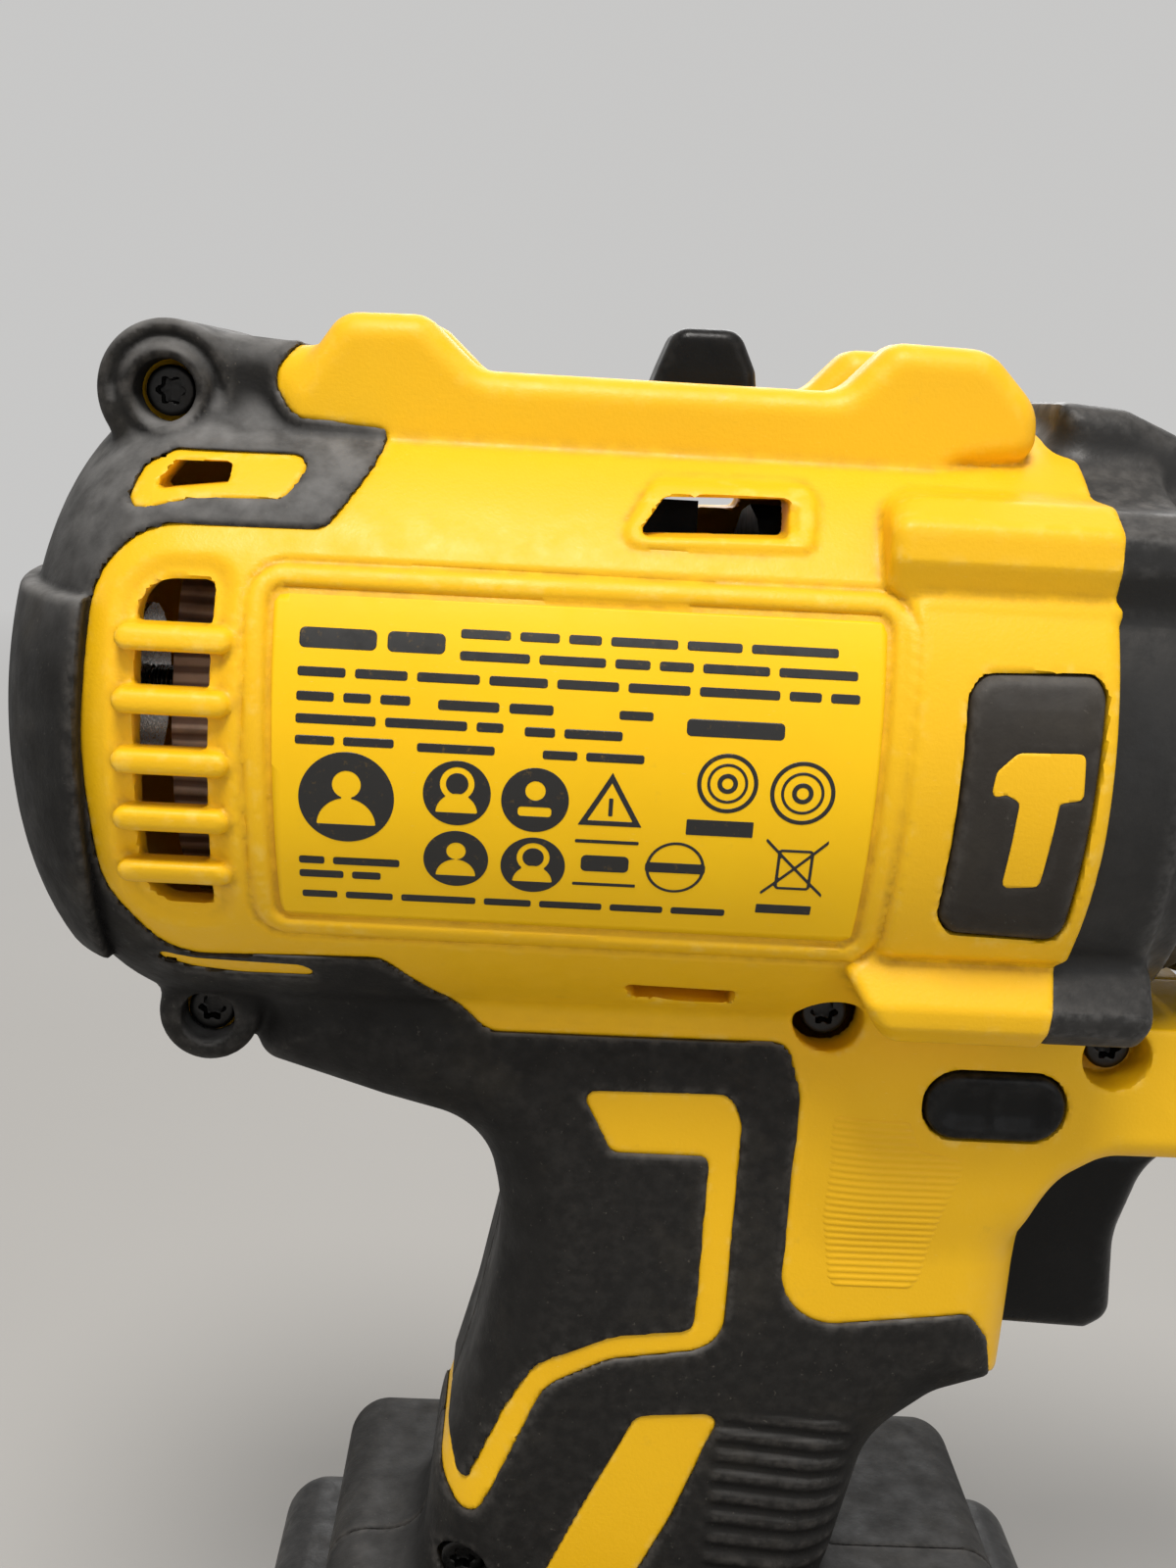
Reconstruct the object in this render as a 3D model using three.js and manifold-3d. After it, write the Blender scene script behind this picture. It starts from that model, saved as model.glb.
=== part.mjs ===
// A cordless hammer drill with a brushless motor, a two-speed planetary gearbox, a keyless chuck
// and a slide-on battery, as an assembly of separate pieces.
// Millimetres. Every sub-part is drawn in the spindle frame: the spindle lies on the x axis and
// points to +x, +z is up, and +y is the drill's left side. The group is then set down on its battery.
import * as THREE from "three";
import { mergeVertices } from "three/addons/utils/BufferGeometryUtils.js";
import Module from "manifold-3d";

const wasm = await Module();
wasm.setup();

// ---- Driving dimensions ----
const GAP = 0.3; // clearance between neighbouring pieces
const ROUND = 20; // sides of a large turned piece

const BARREL_R = 34;
const BARREL_REAR = -60.4;
const BUMPER = 2.2; // how far the rear bumper stands proud
const BARREL_FRONT = 49.4;
const SHELL_WALL = 4;
const RUBBER = 1.6; // thickness of the moulded-on rubber
const GRIP_HALF = 16.5;
const GRIP_ROUND = 6;
const RAIL_TOP = 36.5;
const HUMP_TOP = 41.6;

const STATOR = { r: 24, bore: 13.2, x0: -37, x1: -12, teeth: 6 };
const SHAFT_R = 2.5;
const ROTOR_R = 12.6;
const FAN = { r: 24, x0: 0.5, x1: 11.5, blades: 9 };
const REAR_BEARING = { r: 9.5, x0: -54.5, x1: -48.5 };
const FRONT_BEARING = { r: 8, x0: 14, x1: 20 };

const RING_R = 21; // outside of each ring gear
const PIN_R = 1.6;
const STAGES = [
  { module: 1, sun: 12, planet: 12, ring: 36, x0: 22.6, x1: 28.4, plate: 2.2 },
  { module: 1.1, sun: 12, planet: 9, ring: 30, x0: 36, x1: 42.6, plate: 2.2 },
  { module: 1, sun: 18, planet: 9, ring: 36, x0: 46.3, x1: 52.3, plate: 4.2 },
];

const GEAR_CASE = {
  x0: 21.3,
  flange: 49.7,
  front: 67,
  nose: 82,
  r: 24,
  bore: 21.3,
  flangeR: 33.5,
  noseR: 14,
  flat: -28.8, // its underside, on top of the hood over the trigger
};
const COLLAR = { x0: 68, x1: 89.5, r: 27 };
const CHUCK = { x0: 91, x1: 127, sleeveR: 21.5, bore: 6.6 };
const JAW = {
  r: 2.8,
  length: 18.5,
  tilt: THREE.MathUtils.degToRad(24),
  travel: 15.2,
  tipX: 125.5,
  tipR: 2.4,
};

const TRIGGER = { front: 68.2, rear: 46.5, top: -47.4, bottom: -70.6, half: 7.5 };
const BUTTON = { x: 47.4, z: -38.9, length: 15.2, height: 7.6, half: 18.4 };
const FOOT = { x0: -26, x1: 60, half: 32, top: -108.5, bottom: -124 };
const BATTERY = { x0: -36, x1: 72, half: 37, top: -124.4, split: -137, bottom: -164.2, wall: 3 };
const RAIL = { wide: 22.4, neck: 19, top: -113.6, step: -119.4 };
const CELL = { r: 9.2, length: 65, pitch: 19, count: 5, z: -150.6 };

const MID_X = (BARREL_REAR - BUMPER + CHUCK.x1) / 2; // middle of the whole drill, front to back

// ---- Materials ----
const colour = (hex, roughness, metalness = 0) =>
  new THREE.MeshStandardMaterial({ color: hex, roughness, metalness });
const YELLOW = colour(0xf2b81c, 0.5);
const RUBBER_BLACK = colour(0x2b2826, 0.85);
const PLASTIC_BLACK = colour(0x1c1b1a, 0.6);
const STEEL = colour(0x9c9ea0, 0.35, 0.9);
const DARK_STEEL = colour(0x4c4d50, 0.4, 0.9);
const COPPER = colour(0xb4683c, 0.4, 0.8);
const LAMINATION = colour(0x6a6866, 0.5, 0.7);
const BOARD_GREEN = colour(0x1e5a3a, 0.6);
const LABEL_YELLOW = colour(0xe8b41e, 0.45);
const LENS = colour(0xe6eef2, 0.1);
const BRASS = colour(0xb59a55, 0.35, 0.9);
const CELL_GREY = colour(0x6f7c86, 0.5);

// ---- Solids ----
function solidOf(geometry) {
  const bare = geometry.clone();
  bare.deleteAttribute("normal");
  bare.deleteAttribute("uv");
  const merged = mergeVertices(bare, 1e-4);
  const vertProperties = merged.attributes.position.array;
  const triVerts = new Uint32Array(merged.index.array);
  const made = new wasm.Manifold(new wasm.Mesh({ numProp: 3, vertProperties, triVerts }));
  if (made.volume() >= 0) return made;
  return new wasm.Manifold(new wasm.Mesh({ numProp: 3, vertProperties, triVerts: triVerts.reverse() }));
}

function geometryOf(solid) {
  const mesh = solid.getMesh();
  return new THREE.BufferGeometry()
    .setAttribute("position", new THREE.BufferAttribute(mesh.vertProperties, 3))
    .setIndex(new THREE.BufferAttribute(mesh.triVerts, 1));
}

const join = (...solids) => solids.reduce((all, next) => all.add(next));

function outline(points) {
  return new THREE.Shape(points.map(([u, v]) => new THREE.Vector2(u, v)));
}

function circle(radius, sides, cx = 0, cy = 0) {
  const points = [];
  for (let i = 0; i < sides; i++) {
    const a = (2 * Math.PI * i) / sides;
    points.push([cx + radius * Math.cos(a), cy + radius * Math.sin(a)]);
  }
  return outline(points);
}

// A turned piece about the spindle axis, from [x, radius] points that close on themselves.
function turned(profile, sides = ROUND) {
  const points = profile.map(([x, r]) => new THREE.Vector2(r, x));
  const closed = profile[0][1] > 0 || profile.at(-1)[1] > 0;
  if (closed) points.push(points[0].clone());
  return solidOf(new THREE.LatheGeometry(points, sides).rotateZ(-Math.PI / 2));
}

const disc = (x0, x1, r, sides = ROUND) => turned([[x0, 0], [x0, r], [x1, r], [x1, 0]], sides);
const ring = (x0, x1, inner, outer, sides = ROUND) =>
  turned([[x0, inner], [x0, outer], [x1, outer], [x1, inner]], sides);

// A shape in the y-z plane, extruded along the spindle.
const ALONG_X = new THREE.Matrix4().makeBasis(
  new THREE.Vector3(0, 1, 0),
  new THREE.Vector3(0, 0, 1),
  new THREE.Vector3(1, 0, 0),
);
function alongX(shape, x0, x1) {
  const body = new THREE.ExtrudeGeometry(shape, { depth: x1 - x0, bevelEnabled: false, curveSegments: 8 });
  return solidOf(body.applyMatrix4(ALONG_X).translate(x0, 0, 0));
}

// A side outline in x and z, extruded across the drill; grow moves the whole surface out or in.
function across(shape, y0, y1, round = 0, grow = 0, curveSegments = 5) {
  const body = new THREE.ExtrudeGeometry(shape, {
    depth: y1 - y0 + 2 * grow - 2 * round,
    bevelEnabled: round > 0 || grow !== 0,
    bevelThickness: round,
    bevelSize: round,
    bevelOffset: grow - round,
    bevelSegments: 1,
    curveSegments,
  });
  return solidOf(body.rotateX(Math.PI / 2).translate(0, y1 + grow - round, 0));
}

// A plan outline in x and y, extruded upwards with rounded edges.
function upwards(shape, z0, z1, round = 0) {
  const body = new THREE.ExtrudeGeometry(shape, {
    depth: z1 - z0 - 2 * round,
    bevelEnabled: round > 0,
    bevelThickness: round,
    bevelSize: round,
    bevelOffset: -round,
    bevelSegments: 1,
    curveSegments: 4,
  });
  return solidOf(body.translate(0, 0, z0 + round));
}

function block([x0, x1], [y0, y1], [z0, z1]) {
  const box = new THREE.BoxGeometry(x1 - x0, y1 - y0, z1 - z0);
  return solidOf(box.translate((x0 + x1) / 2, (y0 + y1) / 2, (z0 + z1) / 2));
}

// A round rod across the drill at one place of the side view.
function crossRod(x, z, r, y0, y1, sides = 10) {
  const rod = new THREE.CylinderGeometry(r, r, y1 - y0, sides);
  return solidOf(rod.translate(x, (y0 + y1) / 2, z));
}

function roundedRect(x0, x1, y0, y1, r) {
  const shape = new THREE.Shape();
  shape.moveTo(x0 + r, y0);
  shape.lineTo(x1 - r, y0);
  shape.absarc(x1 - r, y0 + r, r, -Math.PI / 2, 0);
  shape.lineTo(x1, y1 - r);
  shape.absarc(x1 - r, y1 - r, r, 0, Math.PI / 2);
  shape.lineTo(x0 + r, y1);
  shape.absarc(x0 + r, y1 - r, r, Math.PI / 2, Math.PI);
  shape.lineTo(x0, y0 + r);
  shape.absarc(x0 + r, y0 + r, r, Math.PI, 1.5 * Math.PI);
  return shape;
}

const half = (side) => block([-120, 180], side < 0 ? [-60, -GAP / 2] : [GAP / 2, 60], [-200, 80]);

// ---- Gears ----
const ADDENDUM = 0.7;
const DEDENDUM = 1.0;
const HALF_TOOTH = 0.6; // half of a tooth's thickness on the pitch circle, in modules
const FLANK = Math.tan(THREE.MathUtils.degToRad(20));

// Teeth on a pitch circle: out is +1 for a spur gear and -1 for a ring gear's inward teeth.
function toothed(count, module, phase, out) {
  const pitch = (count * module) / 2;
  const tip = pitch + out * ADDENDUM * module;
  const root = pitch - out * DEDENDUM * module;
  const tipHalf = ((HALF_TOOTH - ADDENDUM * FLANK) * module) / tip;
  const rootHalf = ((HALF_TOOTH + DEDENDUM * FLANK) * module) / root;
  const points = [];
  for (let i = 0; i < count; i++) {
    const a = phase + (2 * Math.PI * i) / count;
    for (const [r, d] of [[root, -rootHalf], [tip, -tipHalf], [tip, tipHalf], [root, rootHalf]])
      points.push([r * Math.cos(a + d), r * Math.sin(a + d)]);
  }
  return points;
}

function spurGear(count, module, phase, x0, x1, bore = 0) {
  const shape = outline(toothed(count, module, phase, 1));
  if (bore > 0) shape.holes.push(circle(bore, 12));
  return alongX(shape, x0, x1);
}

function ringGear(stage, x0, x1) {
  const shape = circle(RING_R, ROUND);
  const phase = stage.planet % 2 ? Math.PI / stage.ring : 0;
  shape.holes.push(outline(toothed(stage.ring, stage.module, phase, -1)));
  return alongX(shape, x0, x1);
}

const orbit = (stage) => ((stage.sun + stage.planet) * stage.module) / 2;
const planetAngle = (i) => (2 * Math.PI * i) / 3;

function carrier(stage, next) {
  const r = orbit(stage);
  const plateX = stage.x1 + 0.7;
  let made = disc(plateX, plateX + stage.plate, r + 2.8);
  for (let i = 0; i < 3; i++) {
    const a = planetAngle(i);
    const pin = circle(PIN_R, 10, r * Math.cos(a), r * Math.sin(a));
    made = made.add(alongX(pin, stage.x0 - 0.3, plateX + 0.2));
  }
  if (next) made = made.add(spurGear(next.sun, next.module, 0, plateX + stage.plate - 0.1, next.x1));
  return made;
}

function motorPinion() {
  const stage = STAGES[0];
  return spurGear(stage.sun, stage.module, 0, stage.x0, stage.x1, SHAFT_R - 0.1);
}

function planet(stage) {
  const phase = Math.PI + Math.PI / stage.planet;
  return spurGear(stage.planet, stage.module, phase, stage.x0, stage.x1, PIN_R + GAP);
}

// ---- Outer form of the shells; grow moves the surface out or in ----
function domedBarrel(grow) {
  const r = BARREL_R + grow;
  const x0 = BARREL_REAR - grow;
  return turned([[x0, 0], [x0 + 0.6, r - 26], [x0 + 3.3, r - 17], [x0 + 7.4, r - 7], [x0 + 13, r - 1.6],
    [x0 + 19, r], [BARREL_FRONT, r], [BARREL_FRONT, 0]]);
}

// The barrel, with the bumper that stands proud around its rear.
function barrelForm(grow) {
  const band = block([-90, -49.5 + grow], [-60, 60], [-24.5 - grow, 13 + grow]);
  return domedBarrel(grow).add(domedBarrel(grow + BUMPER).intersect(band));
}

const gripOutline = () => outline([[-32, -24], [-33, -39], [-20, -43.3], [-10.4, -48.5], [-6, -58], [-8, -73],
  [-12.2, -92.2], [-15, -116], [31, -116], [35, -102], [38.2, -90], [42, -82], [53.5, -74], [54.6, -60],
  [58, -50.5], [63.5, -46], [73, -45], [72.5, -24]]);

const gripHollow = () => outline([[-28, -26], [-27, -35.5], [-13, -40], [-3.5, -48], [-1.5, -58], [-4, -73],
  [-8, -92], [-10.5, -110], [27, -110], [31, -100], [34, -88.5], [38.5, -78], [50, -71], [50, -26]]);

function railOutline() {
  return outline([[-33, 20], [-31, 35], [-26.5, HUMP_TOP - 0.5], [-18.4, HUMP_TOP], [-13, RAIL_TOP],
    [22.6, RAIL_TOP], [27.6, HUMP_TOP], [38, HUMP_TOP], [44, 37], [45, 20]]);
}

// Raised bars on both flanks, above and below the badge.
function ridges() {
  const upper = outline([[27.5, 19], [31, 26.6], [BARREL_FRONT, 26.8], [BARREL_FRONT, 17.8]]);
  const lower = outline([[27.5, -20], [30, -28], [48, -28.5], [47.5, -18.5]]);
  return [-1, 1].flatMap((s) => [upper, lower].map((bar) => across(bar, s * 24 - 4.5, s * 24 + 4.5)));
}

function shellForm(grow) {
  const rails = [-1, 1].map((s) => across(railOutline(), s * 17 - 4.5, s * 17 + 4.5, 2, grow));
  const foot = upwards(roundedRect(FOOT.x0 - grow, FOOT.x1 + grow, -FOOT.half - grow, FOOT.half + grow, 9),
    FOOT.bottom, FOOT.top + grow, 3);
  const bosses = [[-43.7, 32.8, 6.4], [-39.1, -33.2, 4.9]].map(([x, z, r]) =>
    crossRod(x, z, r + grow, -15.5 - grow, 15.5 + grow, 16));
  const aboveHood = disc(BARREL_FRONT, 90, GEAR_CASE.flangeR + GAP)
    .intersect(block([0, 90], [-50, 50], [GEAR_CASE.flat - GAP, 50]));
  const grip = across(gripOutline(), -GRIP_HALF, GRIP_HALF, GRIP_ROUND, grow);
  return join(barrelForm(grow), grip, ...rails, ...ridges(), foot, ...bosses).subtract(aboveHood);
}

// Where the rubber lies in the side view: rear cap, both arms and the grip.
function rubberOutline(grow) {
  const shape = new THREE.Shape();
  shape.moveTo(-80, 60);
  shape.lineTo(-31 + grow, 60);
  shape.lineTo(-31 + grow, 31.5 + grow);
  shape.lineTo(-21 + grow, 31 + grow);
  shape.lineTo(-26 + grow, 20 - grow);
  for (const spot of [[-38, 19.6 - grow], [-46, 15], [-48 + grow, 0], [-46, -15], [-36, -22 + grow]])
    shape.lineTo(...spot);
  shape.lineTo(-19 + grow, -21.6 + grow);
  shape.lineTo(-8 + grow, -32.5 + grow);
  shape.lineTo(23 + grow, -32.5 + grow);
  for (const spot of [[26.3 + grow, -38], [26.3 + grow, -60], [31 + grow, -66 + grow]]) shape.lineTo(...spot);
  shape.lineTo(49 + grow, -64 + grow);
  shape.lineTo(56 + grow, -76);
  shape.lineTo(56 + grow, -114 - grow);
  shape.lineTo(-80, -114 - grow);
  return shape;
}

const LABEL = [[-30, 15.3], [27.3, 15.2], [27, -17], [-28.8, -17]];
const BADGE = [[36.2, 11.6], [47.8, 12], [48.9, 10.5], [48.2, -13.6], [47.2, -15.2], [37, -14.4],
  [35.6, -12.6], [35.2, 10]];
const SCREWS = [
  { name: "screw_rear_top", x: -43.7, z: 32.8, y: -13 },
  { name: "screw_rear_bottom", x: -39.1, z: -33.2, y: -13 },
  { name: "screw_middle", x: 28.2, z: -29.9, y: -14.5 },
  { name: "screw_front", x: 60.2, z: -32.5, y: -14.5 },
  { name: "screw_grip", x: -8.8, z: -101.4, y: -13.5 },
  { name: "screw_foot", x: 47, z: -111.5, y: -26 },
];
const SCREW = { headR: 2.6, headLength: 2.4, shankR: 1.6, length: 12 };

// A thin patch of the barrel's flank between two radii, on one side.
function flankPatch(points, side, inner, outer) {
  const plate = across(outline(points), side < 0 ? -50 : 5, side < 0 ? -5 : 50);
  return ring(-60, 60, inner, outer).intersect(plate);
}

const grown = (points, by) => {
  const cx = points.reduce((s, p) => s + p[0], 0) / points.length;
  const cz = points.reduce((s, p) => s + p[1], 0) / points.length;
  return points.map(([x, z]) => [x + Math.sign(x - cx) * by, z + Math.sign(z - cz) * by]);
};

// Hollow of both shells together, with the ribs and pockets that hold the motor and the gear case.
function cavity() {
  const r = BARREL_R - SHELL_WALL;
  const barrel = turned([[BARREL_REAR + 3.6, 0], [BARREL_REAR + 4, 12], [BARREL_REAR + 10, r - 9],
    [BARREL_REAR + 16, r - 2], [BARREL_REAR + 22, r], [BARREL_FRONT - 3, r], [BARREL_FRONT - 3, 26],
    [60, 26], [60, 0]]);
  const ribs = [[-33, 24.3], [-17, 24.3], [27, 24.3]].map(([x, bore]) =>
    ring(x, x + 2, bore, BARREL_R - 2));
  const pocket = ring(BARREL_REAR + 2, REAR_BEARING.x1 - 2, REAR_BEARING.r + GAP, REAR_BEARING.r + 3);
  const strapWay = block([-6, 50], [-6, 6], [24.5, 29.6]);
  const grip = across(gripHollow(), SHELL_WALL - GRIP_HALF, GRIP_HALF - SHELL_WALL, 3);
  const middlePost = crossRod(28.2, -29.9, 4, -40, 40);
  return barrel.subtract(join(...ribs, pocket)).add(strapWay).add(grip).subtract(middlePost);
}

// Air vents through the barrel on both sides, the selector slot, and the holes for trigger, button and lamp.
function openings() {
  const cuts = [];
  const barGap = 5.6;
  const slot = 2.9;
  for (const side of [-1, 1]) {
    const y = side < 0 ? [-40, -26] : [26, 40];
    for (let i = 0; i < 6; i++) {
      const z = 13.2 - i * barGap;
      cuts.push(block([-42, -35.6], y, [z - slot / 2, z + slot / 2]));
    }
    cuts.push(across(outline([[3.6, 21.7], [6.4, 25.4], [18.5, 25.9], [18.1, 22.3]]),
      side < 0 ? -40 : 12, side < 0 ? -12 : 40));
    cuts.push(across(outline([[5.1, -25.2], [17.2, -25.5], [16.8, -27], [6.7, -26.8]]),
      side < 0 ? -40 : 12, side < 0 ? -12 : 40));
  }
  cuts.push(block([-3, 19], [-5.5, 5.5], [28, 50]));
  cuts.push(block([40, 80], [-8.3, 8.3], [TRIGGER.bottom - 1, TRIGGER.top + 1]));
  cuts.push(across(buttonOutline(GAP), -30, 30));
  cuts.push(block([69.6, 80], [-5.3, 5.3], [-42.3, -36.7]));
  return join(...cuts);
}

function buttonOutline(grow) {
  const r = BUTTON.height / 2 + grow;
  const reach = (BUTTON.length - BUTTON.height) / 2;
  const shape = new THREE.Shape();
  shape.absarc(BUTTON.x + reach, BUTTON.z, r, -Math.PI / 2, Math.PI / 2);
  shape.absarc(BUTTON.x - reach, BUTTON.z, r, Math.PI / 2, 1.5 * Math.PI);
  return shape;
}

function screwWay() {
  const ways = SCREWS.map(({ x, z, y }) =>
    join(crossRod(x, z, SCREW.headR + GAP, -60, y + SCREW.headLength + GAP),
      crossRod(x, z, SCREW.shankR + GAP, -60, y + SCREW.length + GAP)));
  return join(...ways);
}

// The battery bay: a T-shaped way open to the front and below.
function batteryBay() {
  const front = FOOT.x1 + 20;
  return join(
    block([FOOT.x0 + 4, front], [-RAIL.wide - 0.6, RAIL.wide + 0.6], [RAIL.step - 0.6, RAIL.top + 0.6]),
    block([FOOT.x0 + 4, front], [-RAIL.neck - 0.6, RAIL.neck + 0.6], [FOOT.bottom - 2, RAIL.step]),
    block([-12, 26], [-15, 15], [RAIL.top, -106]),
  );
}

function shells() {
  const outer = shellForm(0);
  const rubber = across(rubberOutline(0), -60, 60);
  const rubberBed = across(rubberOutline(GAP), -60, 60);
  const skin = outer.intersect(rubber).subtract(shellForm(-RUBBER));
  const badgeBeds = [-1, 1].map((s) => flankPatch(grown(BADGE, GAP), s, BARREL_R - 1.8, BARREL_R + 4));
  const labelBed = flankPatch(grown(LABEL, GAP), -1, BARREL_R - 0.9, BARREL_R + 4);
  const voids = join(cavity(), openings(), screwWay(), batteryBay(), ...badgeBeds, labelBed);
  const core = outer.subtract(rubberBed).add(shellForm(-RUBBER - GAP)).subtract(voids);
  const rubberVoids = join(openings(), screwWay(), batteryBay());
  const pieces = {};
  for (const [name, side] of [["right", -1], ["left", 1]]) {
    pieces["housing_" + name] = core.intersect(half(side));
    pieces["overmould_" + name] = skin.subtract(rubberVoids).intersect(half(side));
  }
  return pieces;
}

// ---- Motor ----
function stator() {
  let made = ring(STATOR.x0, STATOR.x1, STATOR.r - 3.2, STATOR.r);
  for (let i = 0; i < STATOR.teeth; i++)
    made = made.add(block([STATOR.x0, STATOR.x1], [STATOR.bore + 0.3, STATOR.r - 2], [-2.4, 2.4]).rotate([
      (360 * i) / STATOR.teeth, 0, 0]));
  return made;
}

function windings() {
  const ends = [[STATOR.x0 - 4.5, STATOR.x0 - GAP], [STATOR.x1 + GAP, STATOR.x1 + 4]];
  let made = join(...ends.map(([x0, x1]) => ring(x0, x1, STATOR.bore + 0.8, STATOR.r - 1.4)));
  for (let i = 0; i < STATOR.teeth; i++)
    made = made.add(block([STATOR.x0 - 4, STATOR.x1 + 3.5], [15.5, 19.6], [-4.2, 4.2]).rotate([
      (360 * (i + 0.5)) / STATOR.teeth, 0, 0]));
  return made;
}

function rotor() {
  return join(disc(REAR_BEARING.x0 - 1, 29, SHAFT_R - 0.4, 12), disc(-48, 13, SHAFT_R, 12),
    disc(STATOR.x0, STATOR.x1, ROTOR_R));
}

function fan() {
  let made = ring(FAN.x0, FAN.x0 + 1.5, SHAFT_R + GAP, FAN.r);
  made = made.add(ring(FAN.x0, FAN.x1, SHAFT_R + GAP, 6, 12));
  for (let i = 0; i < FAN.blades; i++)
    made = made.add(block([FAN.x0 + 1, FAN.x1], [9, FAN.r - 0.5], [-0.7, 0.7]).translate([0, 0, 5]).rotate([
      (360 * i) / FAN.blades, 0, 0]));
  return made;
}

const bearing = ({ r, x0, x1 }, bore) => ring(x0, x1, bore, r);

// ---- Gear case and clutch ----
function gearCaseCover() {
  const b = FRONT_BEARING;
  return turned([[b.x0 - 0.5, b.r + GAP], [b.x0 - 0.5, b.r + 3], [17.4, b.r + 3], [17.4, GEAR_CASE.r],
    [GEAR_CASE.x0 - GAP, GEAR_CASE.r], [GEAR_CASE.x0 - GAP, 5], [b.x1 + 0.4, 5], [b.x1 + 0.4, b.r + GAP]]);
}

function gearCase() {
  const c = GEAR_CASE;
  const lastPlate = STAGES[2].x1 + 0.7 + STAGES[2].plate;
  const made = turned([[c.x0, c.bore], [c.x0, c.r], [c.flange, c.r], [c.flange, c.flangeR], [57.5, c.flangeR],
    [57.5, 30.5], [62, 30.5], [62, 28], [c.front, 26.5], [c.front, c.noseR], [c.nose, c.noseR],
    [c.nose, 11.4], [73.5, 11.4], [73.5, 8.2], [lastPlate + 0.6, 8.2], [lastPlate + 0.6, c.bore]]);
  const humpSide = outline([[c.flange, 30], [c.flange, 36.8], [56, 36.6], [61, 34.2], [61.8, 29]]);
  const hump = across(humpSide, -13, 13);
  const flat = block([c.flange - 1, 90], [-40, 40], [-40, c.flat]);
  const pinSlots = block([31, 43.2], [-c.r - 2, c.r + 2], [-2.2, 2.2]);
  return made.add(hump).subtract(flat).subtract(pinSlots.subtract(disc(30, 45, c.bore - 0.5)));
}

function clutchSpring() {
  const turns = 4;
  const length = 11;
  const path = new THREE.Curve();
  path.getPoint = (t, target = new THREE.Vector3()) => {
    const a = 2 * Math.PI * turns * t;
    return target.set(GEAR_CASE.front + 2 + length * t, 17 * Math.cos(a), 17 * Math.sin(a));
  };
  const wire = circle(1.1, 5);
  return solidOf(new THREE.ExtrudeGeometry(wire, { steps: turns * 10, extrudePath: path }));
}

function clutchCollar() {
  const c = COLLAR;
  return turned([[c.x0, 26], [c.x0 + 6, c.r], [c.x0 + 15, c.r], [c.x1 - 1.5, 25.2], [c.x1, 23.5],
    [c.x1, 15], [c.x1 - 3, 15], [c.x1 - 3, 21.5], [c.x0, 21.5]]);
}

// ---- Spindle and chuck ----
function spindle() {
  const start = STAGES[2].x1 + STAGES[2].plate + 0.7 + GAP;
  return turned([[start, 0], [start, 7.6], [72, 7.6], [72, 7], [90.5, 7], [90.5, 5.9], [103.5, 5.9],
    [103.5, 2.9], [88, 2.9], [88, 0]], 16);
}

function chuckScrew() {
  return turned([[91, 0], [91, 2.5], [104, 2.5], [104, 4], [106.5, 4], [106.5, 0]], 14);
}

// The line that a jaw slides on, as a rotation about y and a start at the closed tip.
function alongJaw(solid, slide) {
  const tilt = THREE.MathUtils.radToDeg(JAW.tilt);
  const x = JAW.tipX - slide * Math.cos(JAW.tilt);
  const z = JAW.tipR + slide * Math.sin(JAW.tilt);
  return solid.rotate([0, tilt, 0]).translate([x, 0, z]);
}

function chuckBody() {
  const c = CHUCK;
  const form = turned([[c.x0, 6.2], [c.x0, 18.5], [c.x0 + 2.2, 18.5], [c.x0 + 2.2, 14.5], [118, 14.5],
    [121.5, 12], [c.x1, 9.4], [c.x1, c.bore], [107.5, c.bore], [107.5, 6.2]]);
  let made = form;
  const rearLimit = c.x0 + 2.2;
  const keep = block([rearLimit, 140], [-30, 30], [-30, 30]);
  for (let i = 0; i < 3; i++) {
    const way = alongJaw(disc(-JAW.length - JAW.travel - 3, 12, JAW.r + GAP, 14), 0).intersect(keep);
    made = made.subtract(way.rotate([120 * i, 0, 0]));
  }
  return made;
}

// One jaw at rest, drawn back: its gripping nose is cut to a 120-degree wedge about the spindle.
function jaw() {
  const rod = alongJaw(disc(-JAW.length, 1.5, JAW.r, 14), 0);
  const wedge = alongX(outline([[0, GAP], [60, GAP + 60 / Math.sqrt(3)], [60, 60], [-60, 60],
    [-60, GAP + 60 / Math.sqrt(3)]]), 90, JAW.tipX);
  const closed = rod.intersect(wedge);
  return closed.translate([-JAW.travel * Math.cos(JAW.tilt), 0, JAW.travel * Math.sin(JAW.tilt)]);
}

function chuckSleeve() {
  const c = CHUCK;
  const r = c.sleeveR;
  return turned([[c.x0 + 0.4, 19], [c.x0 + 0.4, r - 1.5], [c.x0 + 2, r], [106, r], [115, r - 2], [120, 16.5],
    [121, 14.9], [117, 14.9], [114, 19]]);
}

const jawNut = () => ring(102.5, 107, 16, 18.7);

// ---- Controls ----
function speedSelector() {
  const grip = across(outline([[5.2, 35], [7.9, 42.2], [14.2, 42.4], [16.4, 35]]), -4.8, 4.8);
  return join(grip, block([3, 18.6], [-5.1, 5.1], [31.4, 35.2]));
}

function shiftBracket() {
  const strap = block([6, 40.5], [-4, 4], [26.4, 28.4]);
  const peg = block([9, 13], [-2.5, 2.5], [28.2, 31]);
  const yoke = ring(37.5, 40.5, 24.5, 26.6).intersect(block([30, 45], [-40, 40], [-3, 40]));
  const pins = [-1, 1].map((s) => block([37.6, 40.4], s < 0 ? [-25.5, -19.9] : [19.9, 25.5], [-1.5, 1.5]));
  return join(strap, peg, yoke, ...pins);
}

// The second ring gear carries a groove in which the bracket's pins ride.
function slidingRing() {
  const stage = STAGES[1];
  return ringGear(stage, 35, 43).subtract(ring(37.2, 40.8, 19.5, 30));
}

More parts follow.
